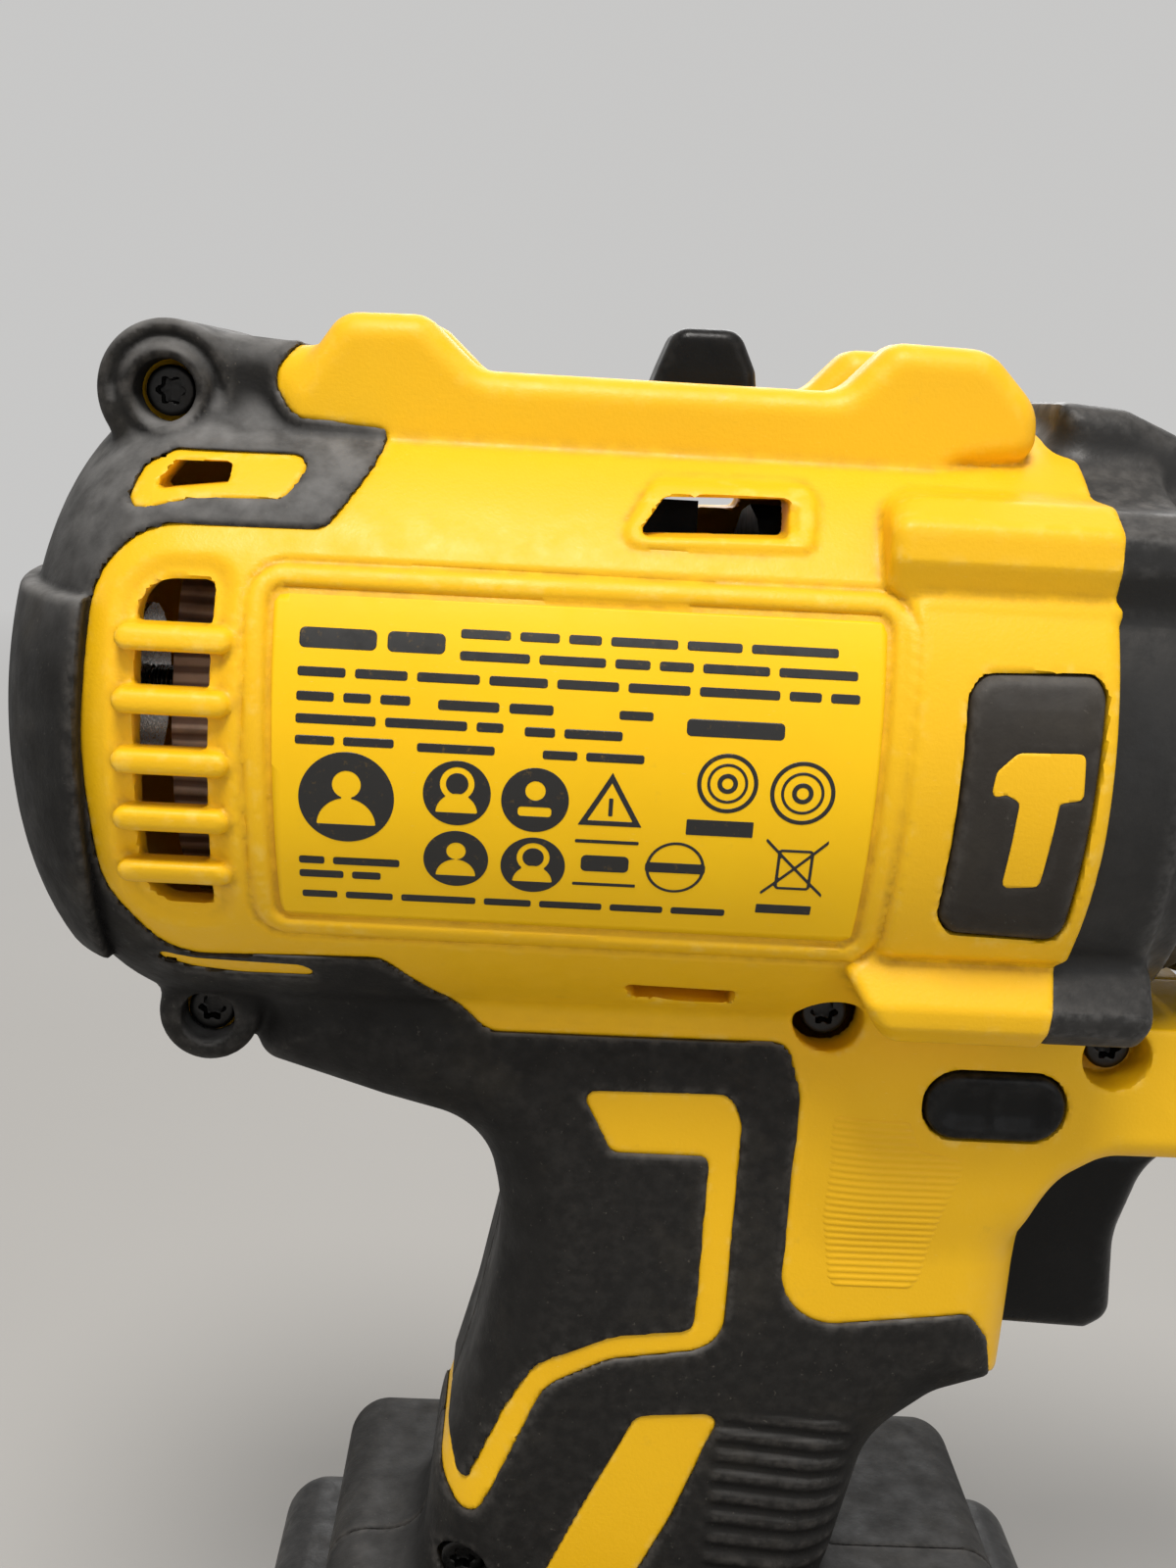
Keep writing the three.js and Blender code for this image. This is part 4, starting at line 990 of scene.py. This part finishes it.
HAMMER = Flat([(38.0, -0.2, 0.4), (38.3, 2.4, 1), (40.2, 4.3, 1), (46.6, 4.5, 0.5), (46.8, 0.1, 0.5),
               (44.6, -0.3, 0.2), (43.9, -8.9, 0.5), (40.3, -9.2, 0.5), (40.8, -0.4, 0.4), (39.4, 0.3, 0.4)])


BADGE_R = 35.0


def badge_pad(x, y, z):
    """A slightly crowned pad of rubber, with a shallow bed for the hammer sign."""
    r = np.hypot(y, z)
    crown = BADGE_R + 0.25 * np.clip(-BADGE_SIDE(x, z) / 3, 0, 1)
    f = rounded_pair(BADGE_SIDE(x, z), r - crown, 1.0)
    f = np.maximum(f, 32.6 - r)
    return f + 0.18 * gentle(HAMMER(x, z), 0.3)


def hammer_inside(x, s):
    return HAMMER(x, BADGE_R * np.sin(s / BADGE_R))


def mode_badges():
    """The rubber pads with the hammer sign, one on each flank."""
    for name, side in SIDES:
        low, high = (33, min(side * 28, side * 37), -18), (51, max(side * 28, side * 37), 15)
        sdf_piece("mode_pad_" + name, badge_pad, low, high, BADGE_RUBBER, "root", "mode_badge_" + name,
                  h=cell_size(0.45))
        flank_sheet("hammer_sign_" + name, hammer_inside, (37, -11), (49, 7), 0.35, BADGE_R + 0.22, 0.35,
                    side, YELLOW)


rating_label()
mode_badges()

# ---- Rib panel beside the trigger guard ----
RIB_SIDE = Flat([(29.4, -40.8, 1), (38.6, -40.6, 2), (40.2, -44.6, 2), (46.0, -45.2, 1.5), (43.6, -52, 8),
                 (41.6, -61.6, 2), (30.6, -61.9, 2), (29.0, -53, 6)])


def flank_of(x, z, side):
    """The y at which the shell's surface is met from outside."""
    y = np.full(x.shape, 40.0 * side)
    for _ in range(60):
        y = y - side * 0.85 * form(x, y, z)
    return y


def rib_panel(name, side):
    """Fine raised ribs moulded across the side of the hood, each drawn as four rows of points."""
    pitch, columns = 0.83, 14
    rise = (-0.02, 0.1, 0.17, 0.1)
    rows = np.arange(-61.7, -40.7, pitch / len(rise))
    sweep = np.linspace(28, 47, 400)
    grid_x, grid_z, lift = [], [], []
    for i, z in enumerate(rows):
        inside = sweep[RIB_SIDE(sweep, np.full(sweep.shape, z)) < 0]
        grid_x.append(np.linspace(inside.min(), inside.max(), columns))
        grid_z.append(np.full(columns, z))
        inner = (np.arange(columns) % (columns - 1) > 0) & (0 < i < len(rows) - 1)
        lift.append(np.where(inner, rise[i % len(rise)], -0.2))
    gx, gz, up = np.array(grid_x), np.array(grid_z), np.array(lift)
    y = flank_of(gx.ravel(), gz.ravel(), side).reshape(gx.shape)
    front = np.stack([gx, y + side * up, gz], -1).reshape(-1, 3)
    back = np.stack([gx, y - side * 0.5, gz], -1).reshape(-1, 3)
    n, m = gx.shape
    index = np.arange(n * m).reshape(n, m)
    quads = np.stack([index[:-1, :-1], index[:-1, 1:], index[1:, 1:], index[1:, :-1]], -1).reshape(-1, 4)
    back_quads = quads[:, ::-1] + n * m
    loop = np.concatenate([index[0, :-1], index[:-1, -1], index[-1, :0:-1], index[:0:-1, 0]])
    after = np.roll(loop, -1)
    walls = np.stack([after, loop, loop + n * m, after + n * m], 1)
    faces = np.concatenate([quads, back_quads, walls])
    if side > 0:
        faces = faces[:, ::-1]
    make_piece(name, np.concatenate([front, back]), faces, YELLOW, "root", smooth=80)


for side_name, flank_way in SIDES:
    rib_panel("rib_panel_" + side_name, flank_way)

# ---- Screws ----


def screws():
    """A flanged head with a six-lobed socket, and its shank."""
    for key, _, sx, head, end, sz in SCREWS:
        def screw(x, y, z):
            dx, dz = x - sx, z - sz
            r = np.hypot(dx, dz)
            lobes = 1.25 + 0.22 * np.cos(6 * np.arctan2(dz, dx))
            cap = smax(r - HEAD_R, np.maximum(head - y, y - head - HEAD_DEPTH), 0.5)
            cap = smax(cap, -smax(r - lobes, y - head - 1.5, 0.2), 0.2)
            return smin(cap, np.maximum(r - SHANK_R, np.maximum(head + 1.8 - y, y - end)), 0.3)

        low, high = (sx - 3.2, head - 1, sz - 3.2), (sx + 3.2, end + 1, sz + 3.2)
        sdf_piece("torx_screw_" + key, screw, low, high, DARK_STEEL, "root", "screw_" + key,
                  h=cell_size(0.22))


screws()

# ---- Gear case ----
CASE_TURN = Flat(mirrored([(82, 14, 1), (67.2, 14, 0.5), (67.2, 26.4, 1.2), (62.4, 27.8, 1),
                           (61.8, 30.6, 1.2), (58.6, 31.6, 2), (57.4, 33.3, 2.4), (46.4, 33.6, 0.6),
                           (46.4, 24, 0.3), (21.3, 24, 0.4)]))
CASE_BORE = Flat(mirrored([(84, 11.4, 0), (73.5, 11.4, 0), (73.5, 8.2, 0), (57.5, 8.2, 0), (57.5, 21.3, 0),
                           (20, 21.3, 0)]))
CASE_HUMP = Flat([(47.4, 28, 0), (47.4, 36.9, 0.6), (54.4, 36.5, 5), (61.6, 33.6, 5), (64.4, 27, 1)])


def gear_case(x, y, z):
    """The nose behind the collar, with a hump on top and shoulders that carry on the flank bars."""
    a, r = np.abs(y), np.hypot(y, z)
    f = CASE_TURN(x, r)
    f = smin(f, rounded_pair(CASE_HUMP(x, z), a - 13, 3), 3.0)
    span = np.abs(x - 52.6) - 6.2
    f = smin(f, rounded_pair(span, UPPER_SECTION(a, z) + 0.4, 2.0), 1.6)
    f = smin(f, rounded_pair(span, LOWER_SECTION(a, z) + 0.4, 2.0), 1.6)
    f = np.maximum(f, np.minimum(front_of(z) + 0.3 - x, 24.0 - r))
    f = smax(f, np.where(x > 46, -28.75, -60) - z, 0.6)
    f = np.maximum(f, -CASE_BORE(x, r))
    slots = box(x, y, z, (37.1, 0, 0), (6.1, 27, 2.2))
    return np.maximum(f, -np.maximum(slots, 20.8 - r))


sdf_piece("gear_case_shell", gear_case, (20, -37, -31), (84, 37, 38.5), BLACK, "root", "gear_case",
          h=cell_size(0.7))

# ---- Trigger, direction button and speed selector ----
TRIGGER_SIDE = Flat([(46.6, -71.2, 1), (65.6, -72.0, 1), (68.4, -70.2, 2.6), (67.6, -59.5, 12),
                     (70.0, -51.0, 8), (73.4, -47.5, 0.6), (46.6, -47.5, 1)])
TRIGGER_HALF = 7.5


def trigger(x, y, z):
    """The lever, crowned across its face."""
    crown = 0.8 * (y / TRIGGER_HALF) ** 2
    return rounded_pair(TRIGGER_SIDE(x + crown, z), np.abs(y) - TRIGGER_HALF, 2.2)


sdf_piece("trigger_lever", trigger, (45, -9, -74), (75, 9, -45), GLOSS_BLACK, "trigger", "trigger",
          h=cell_size(0.5))


def direction_button(x, y, z):
    """A bar through the housing, with a dished end and a fine ridge on each side."""
    side = BUTTON_SIDE(x, z)
    a = np.abs(y)
    f = rounded_pair(side, a - 18.3, 0.9)
    dish = np.clip(-(side + 0.9) / 2.2, 0, 1)
    dish = dish * dish * (3 - 2 * dish)
    f = f + 0.75 * dish * (a > 12)
    ridge = 0.35 * np.exp(-((x - 47.4) / 0.5) ** 2) * dish * (a > 12)
    return f - ridge


sdf_piece("reversing_button", direction_button, (38, -20, -44.5), (57, 20, -33.5), GLOSS_BLACK,
          "direction_button", "direction_button", h=cell_size(0.5))
KNOB_SIDE = Flat([(4.6, 34, 0), (6.0, 38.2, 1.2), (7.6, 42.3, 2.2), (14.4, 42.4, 2.2), (16.4, 38.2, 1.2),
                  (17, 34, 0)])


def speed_knob(x, y, z):
    """A tapered finger knob on its sliding plate."""
    grip = rounded_pair(KNOB_SIDE(x, z), np.abs(y) - 4.8, 1.4)
    plate = box(x, y, z, (10.8, 0, 33.3), (7.8, 5.1, 1.9), 0.5)
    return smin(grip, plate, 1.2)


sdf_piece("speed_knob", speed_knob, (1, -6, 30), (20, 6, 44), GLOSS_BLACK, "speed_selector", "speed_selector",
          h=cell_size(0.32))


# ---- Turned pieces at the front ----


def lathe(name, profile, material, body, node, relief=None, steps=180, smooth=35):
    """A closed profile of (x, radius, corner radius) turned about the spindle. relief(x, r, angle) moves
    the surface out or in, along the radius."""
    path = arc_corners(profile, step=0.25)
    fine = []
    for a, b in zip(path, np.roll(path, -1, 0)):
        parts = max(1, int(np.linalg.norm(b - a) / 0.8))
        fine += [a + (b - a) * k / parts for k in range(parts)]
    fine = np.array(fine)
    angles = np.arange(steps) * math.tau / steps
    x = np.repeat(fine[:, 0][:, None], steps, 1)
    r = np.repeat(fine[:, 1][:, None], steps, 1)
    turn = np.repeat(angles[None], len(fine), 0)
    lift = relief(x, r, turn) if relief else np.zeros(x.shape)
    rr = r + lift
    points = np.stack([x, rr * np.sin(turn), rr * np.cos(turn)], -1).reshape(-1, 3)
    n = len(fine)
    index = np.arange(n * steps).reshape(n, steps)
    a, b = index, np.roll(index, -1, 0)
    faces = np.stack([a, b, np.roll(b, -1, 1), np.roll(a, -1, 1)], -1).reshape(-1, 4)
    area = np.sum(fine[:, 0] * np.roll(fine[:, 1], -1) - fine[:, 1] * np.roll(fine[:, 0], -1))
    if area > 0:
        faces = faces[:, ::-1]
    make_piece(name, points, faces, material, body, node, smooth=smooth)


COLLAR_MARKS = 16
COLLAR_R = 26.9


def clutch_collar():
    """The torque collar: broad finger scallops, and a row of numbered settings on its rear band."""
    def relief(x, r, turn):
        wave = np.clip(np.cos(turn * COLLAR_MARKS) * 1.6, -1, 1)
        along = np.clip((x - 76.5) / 1.2, 0, 1) * np.clip((88.2 - x) / 1.2, 0, 1)
        return np.where(r > 23, wave * along * 0.55, 0)

    lathe("torque_collar", [(COLLAR_REAR, 21.5, 0.2), (COLLAR_REAR, 26.0, 0.8), (70, 26.7, 1),
                            (75.4, COLLAR_R, 0.6), (76, 26.3, 0.3), (76.8, 26.3, 0.3), (77.4, COLLAR_R, 0.6),
                            (84, 26.6, 3), (88.4, 25.0, 1.2), (89.5, 23.5, 0.8), (89.5, 15, 0.4),
                            (86.5, 15, 0.2), (86.5, 21.5, 0.2)],
          BLACK, "clutch_collar", "clutch_collar", relief, steps=288)


def collar_numbers():
    """The numbers 1 to 15 and a plain drill sign, as on any torque dial, raised from the rear band."""
    points, faces = [], []
    ring, print_r = 72.7, COLLAR_R + 0.04
    for k in range(COLLAR_MARKS):
        text = bpy.data.curves.new("number", "FONT")
        text.body = str(k) if k else "|"
        text.size = 3.4
        text.align_x, text.align_y = "CENTER", "CENTER"
        holder = bpy.data.objects.new("number", text)
        bpy.context.scene.collection.objects.link(holder)
        bpy.context.view_layer.update()
        mesh = holder.evaluated_get(bpy.context.evaluated_depsgraph_get()).to_mesh()
        flat = np.array([v.co[:2] for v in mesh.vertices])
        polygons = [list(f.vertices) for f in mesh.polygons]
        bpy.data.objects.remove(holder)
        middle = k * math.tau / COLLAR_MARKS
        base = len(points)
        for u, v in flat:
            turn = middle - u / COLLAR_R
            points.append((ring + v, print_r * math.sin(turn), print_r * math.cos(turn)))
        faces += [[base + i for i in f] for f in polygons]
    piece = make_piece("collar_numbers", np.array(points), faces, WHITE_INK, "clutch_collar",
                       smooth=60)
    thicken(piece, 0.12, 0)


def chuck_sleeve():
    """The ribbed black sleeve of the keyless chuck."""
    def grip(x, r, turn):
        wave = np.clip(np.cos(turn * 12) * 2.2 + 0.6, -1, 1)
        fine = np.cos(turn * 96)
        along = np.clip((x - 94) / 1.5, 0, 1) * np.clip((112 - x) / 5, 0, 1)
        return np.where(r > 19.2, (wave * 0.5 + fine * 0.16) * along - 0.3 * along, 0)

    lathe("chuck_grip", [(91.4, 19, 0.3), (91.4, 20.4, 0.8), (92.8, 21.5, 0.8), (106, 21.5, 6),
                         (115, 19.6, 8), (120.2, 16.4, 0.8), (121, 14.9, 0.3), (117, 14.9, 0.2),
                         (114, 19, 0.3)],
          BLACK, "chuck_sleeve", "chuck_sleeve", grip, steps=384)


CHUCK_TURN = Flat(mirrored([(127, 9.6, 1.0), (121.6, 12.2, 2.0), (118, 14.5, 1.0), (93.2, 14.5, 0.2),
                            (93.2, 18.5, 0.3), (91, 18.5, 0.3)]))
CHUCK_BORE = 6.6
JAW_R, JAW_TILT, JAW_TIP = 2.8, math.radians(24), (125.5, 2.4)


def jaw_way(x, y, z):
    """The three slanting bores that the jaws slide in."""
    d = np.full(x.shape, 1e3)
    for turn in (0, math.tau / 3, -math.tau / 3):
        up = z * math.cos(turn) - y * math.sin(turn)
        side = y * math.cos(turn) + z * math.sin(turn)
        ahead = (x - JAW_TIP[0]) * math.cos(JAW_TILT) - (up - JAW_TIP[1]) * math.sin(JAW_TILT)
        off = (x - JAW_TIP[0]) * math.sin(JAW_TILT) + (up - JAW_TIP[1]) * math.cos(JAW_TILT)
        ends = np.maximum(-36.7 - ahead, ahead - 12)
        d = np.minimum(d, np.maximum(np.hypot(off, side) - JAW_R - 0.3, ends))
    return np.maximum(d, 93.3 - x)


def chuck_body(x, y, z):
    """The turned steel nose, bored for the bit and for the jaws."""
    r = np.hypot(y, z)
    f = CHUCK_TURN(x, r)
    f = smax(f, CHUCK_BORE - np.where(x > 107.5, 0.0, 0.4) - r, 0.7)
    return np.maximum(f, -jaw_way(x, y, z))


clutch_collar()
collar_numbers()
chuck_sleeve()
sdf_piece("chuck_body_steel", chuck_body, (90, -20, -20), (128.5, 20, 20), TURNED_STEEL, "spindle",
          "chuck_body", h=cell_size(0.42))

# ---- Battery ----
PACK_X, PACK_HALF_X, PACK_HALF_Y = 18.0, 54.0, 37.0
PACK_SPLIT = -137.0
PACK_WALL = 3
RIB_PITCH = 4.6


def pack_outside(x, y, z):
    """The rounded block of the battery, waisted a little at its seam, with finger ribs on each flank."""
    f = box(x, y, z, (PACK_X, 0, -144.55), (PACK_HALF_X, PACK_HALF_Y, 20.15), 6.0)
    taper = 0.035 * np.clip(-150 - z, 0, 20)
    flank, level, middle = np.abs(y) > 25, np.zeros_like(x), (PACK_X, 0, -149)
    ribs = np.clip(np.cos((x - PACK_X) * math.tau / RIB_PITCH) * 1.5, -1, 1)
    ribbed = gentle(box(x, level, z, middle, (26, 9, 7.5), 3), 1.5) * flank
    panel = gentle(box(x, level, z, middle, (29, 9, 10), 4), 0.9) * flank
    rear = gentle(np.maximum(np.abs(y) - 20, np.abs(z + 150) - 7), 1.2) * (x < -25)
    return f + taper + (0.9 + 0.45 * ribs) * ribbed + 0.35 * panel + 0.6 * rear


def pack_room(x, y, z, middle_z, half_z, r):
    half = (PACK_HALF_X - PACK_WALL, PACK_HALF_Y - PACK_WALL, half_z)
    return box(x, y, z, (PACK_X, 0, middle_z), half, r)


def latch_way(x, y, z):
    """The room that the latch's button, arm and hook move in."""
    way = box(x, y, z, (80, 0, -138.8), (10.6, 10.3, 12.2), 0.8)
    way = np.minimum(way, box(x, y, z, (67, 0, -135), (23.4, 7, 5)))
    return np.minimum(way, box(x, y, z, (46, 0, -125), (2.4, 7, 15)))


def battery_case(x, y, z):
    """The tub below the seam."""
    f = smax(pack_outside(x, y, z), z - PACK_SPLIT + 0.2, 0.5)
    f = np.maximum(f, -pack_room(x, y, z, -140, 21.2, 4))
    return smax(f, -latch_way(x, y, z), 0.5)


def battery_cover(x, y, z):
    """The lid above the seam, with the T rail that slides into the foot and its contact slots."""
    f = smax(pack_outside(x, y, z), PACK_SPLIT + 0.2 - z, 0.5)
    f = np.maximum(f, -pack_room(x, y, z, -134, 6.6, 3))
    neck = box(x, y, z, (19, 0, -121.9), (40, 19, 3.5), 0.5)
    head = box(x, y, z, (19, 0, -116.5), (40, 22.4, 2.9), 0.6)
    f = np.minimum(f, np.minimum(neck, head))
    for slot_y in (-10, -5, 5, 10):
        f = smax(f, -box(x, y, z, (-25, slot_y, -110), (35, 1, 10), 0.1), 0.2)
    return smax(f, -latch_way(x, y, z), 0.4)


LATCH_SIDE = Flat([(69.8, -147, 0.4), (72.4, -147, 0.8), (73.9, -143.5, 1.5), (73.9, -133, 1.2),
                   (71.8, -130.4, 0.6), (69.8, -130.4, 0.3)])


def battery_latch(x, y, z):
    """The grooved button at the front, with the arm and hook behind it."""
    grooves = 0.35 * np.clip(np.cos((z + 139) * math.tau / 2.2) * 1.4, -1, 1) * (x > 71.5)
    pad = rounded_pair(LATCH_SIDE(x, z), np.abs(y) - 9.9, 1.0)
    pad = pad + grooves * gentle(np.abs(z + 138.5) - 4.5, 1.5)
    arm = box(x, y, z, (57.2, 0, -135), (13.2, 6.4, 1), 0.3)
    hook = box(x, y, z, (46, 0, -124.3), (2, 6.4, 10.2), 0.3)
    return np.minimum(np.minimum(pad, arm), hook)


def gauge_button(x, y, z):
    """A small charge-level plate with a round dimple, on the rear of the pack."""
    plate = rounded_pair(np.maximum(np.abs(y) - 12, np.abs(z + 149.5) - 3.4), np.abs(x + 35.6) - 1.2, 0.6)
    return smax(plate, -(np.hypot(y - 8.4, z + 149.5) - 2.2 + np.abs(x + 36.8) * 0.2), 0.4)


def battery():
    h = cell_size(0.85)
    sdf_piece("battery_tub", battery_case, (-38, -39, -165), (75, 39, -136), BLACK, "battery", "battery_case",
              h=h)
    sdf_piece("battery_lid", battery_cover, (-38, -39, -139), (75, 39, -112), BLACK, "battery",
              "battery_cover", h=h)
    sdf_piece("latch_button", battery_latch, (42, -12, -149), (76, 12, -112), YELLOW, "battery_latch",
              "battery_latch", h=cell_size(0.5))
    sdf_piece("gauge_button", gauge_button, (-39, -14, -155), (-33, 14, -144), GLOSS_BLACK, "battery",
              h=cell_size(0.4))


battery()

# ---- Stage, light and camera ----


WALL = (0.93, 0.925, 0.915, 1)
WALL_STRENGTH = 0.62


def stage():
    """A pale floor that glows like the studio's far wall where it gets far from the drill."""
    mesh = bpy.data.meshes.new("floor")
    far = 30.0
    mesh.from_pydata([(-far, -far, 0), (far, -far, 0), (far, far, 0), (-far, far, 0)], [], [(0, 1, 2, 3)])
    p = Paint("pale_floor", (0.40, 0.39, 0.375), 0.7, specular=0.0)
    p.blotches((0.36, 0.352, 0.34), 0.004, 3, 0.3, 0.7, 0.4)
    distance = p.tree.nodes.new("ShaderNodeVectorMath")
    distance.operation = "LENGTH"
    p.link(p.place, distance.inputs[0])
    away = p.between(distance.outputs["Value"], 0.35, 1.3)
    p.tint(away, (0, 0, 0))
    p.shader.inputs["Emission Color"].default_value = WALL
    p.link(p.maths("MULTIPLY", away, WALL_STRENGTH), p.shader.inputs["Emission Strength"])
    mesh.materials.append(p.material)
    floor = bpy.data.objects.new("floor", mesh)
    bpy.context.scene.collection.objects.link(floor)


def soft_light(name, place, size, power, colour=(1, 1, 1)):
    """A round area light that points at the middle of the drill."""
    light = bpy.data.lights.new(name, "AREA")
    light.shape = "DISK"
    light.size = size
    light.energy = power
    light.color = colour
    lamp = bpy.data.objects.new(name, light)
    lamp.location = place
    lamp.rotation_euler = (Vector((0, 0, 0.16)) - Vector(place)).to_track_quat("-Z", "Y").to_euler()
    bpy.context.scene.collection.objects.link(lamp)


def lights():
    soft_light("key", (-0.06, -0.42, 0.98), 0.34, 7.8, (1.0, 0.97, 0.93))
    soft_light("fill", (0.55, -0.85, 0.40), 0.8, 1.0, (0.95, 0.97, 1.0))
    soft_light("back", (0.1, 0.9, 0.7), 0.8, 5.0)
    world = bpy.data.worlds.new("studio")
    bpy.context.scene.world = world
    world.use_nodes = True
    sky = world.node_tree.nodes["Background"]
    sky.inputs["Color"].default_value = WALL
    sky.inputs["Strength"].default_value = WALL_STRENGTH
    bpy.context.scene.view_settings.view_transform = "Standard"


def camera():
    """The photograph's viewpoint: close to the right flank, looking a little down, rolled a few degrees."""
    spot = np.array([-5.58, -186.96, 34.31])
    pitch, yaw, roll = (math.radians(v) for v in (12.98, -2.09, 3.36))
    forward = Vector((-math.sin(yaw) * math.cos(pitch), math.cos(yaw) * math.cos(pitch), -math.sin(pitch)))
    level = forward.cross(Vector((0, 0, 1))).normalized()
    above = level.cross(forward)
    right = level * math.cos(roll) + above * math.sin(roll)
    up = above * math.cos(roll) - level * math.sin(roll)
    data = bpy.data.cameras.new("camera")
    data.sensor_fit = "VERTICAL"
    data.sensor_height = 36
    data.lens = 38.25
    data.clip_start = 0.01
    eye = bpy.data.objects.new("camera", data)
    eye.matrix_world = Matrix((
        (*(right[0], up[0], -forward[0]), (spot[0] + ORIGIN[0]) * MM),
        (*(right[1], up[1], -forward[1]), (spot[1] + ORIGIN[1]) * MM),
        (*(right[2], up[2], -forward[2]), (spot[2] + ORIGIN[2]) * MM),
        (0, 0, 0, 1)))
    bpy.context.scene.collection.objects.link(eye)
    bpy.context.scene.camera = eye


stage()
lights()
camera()
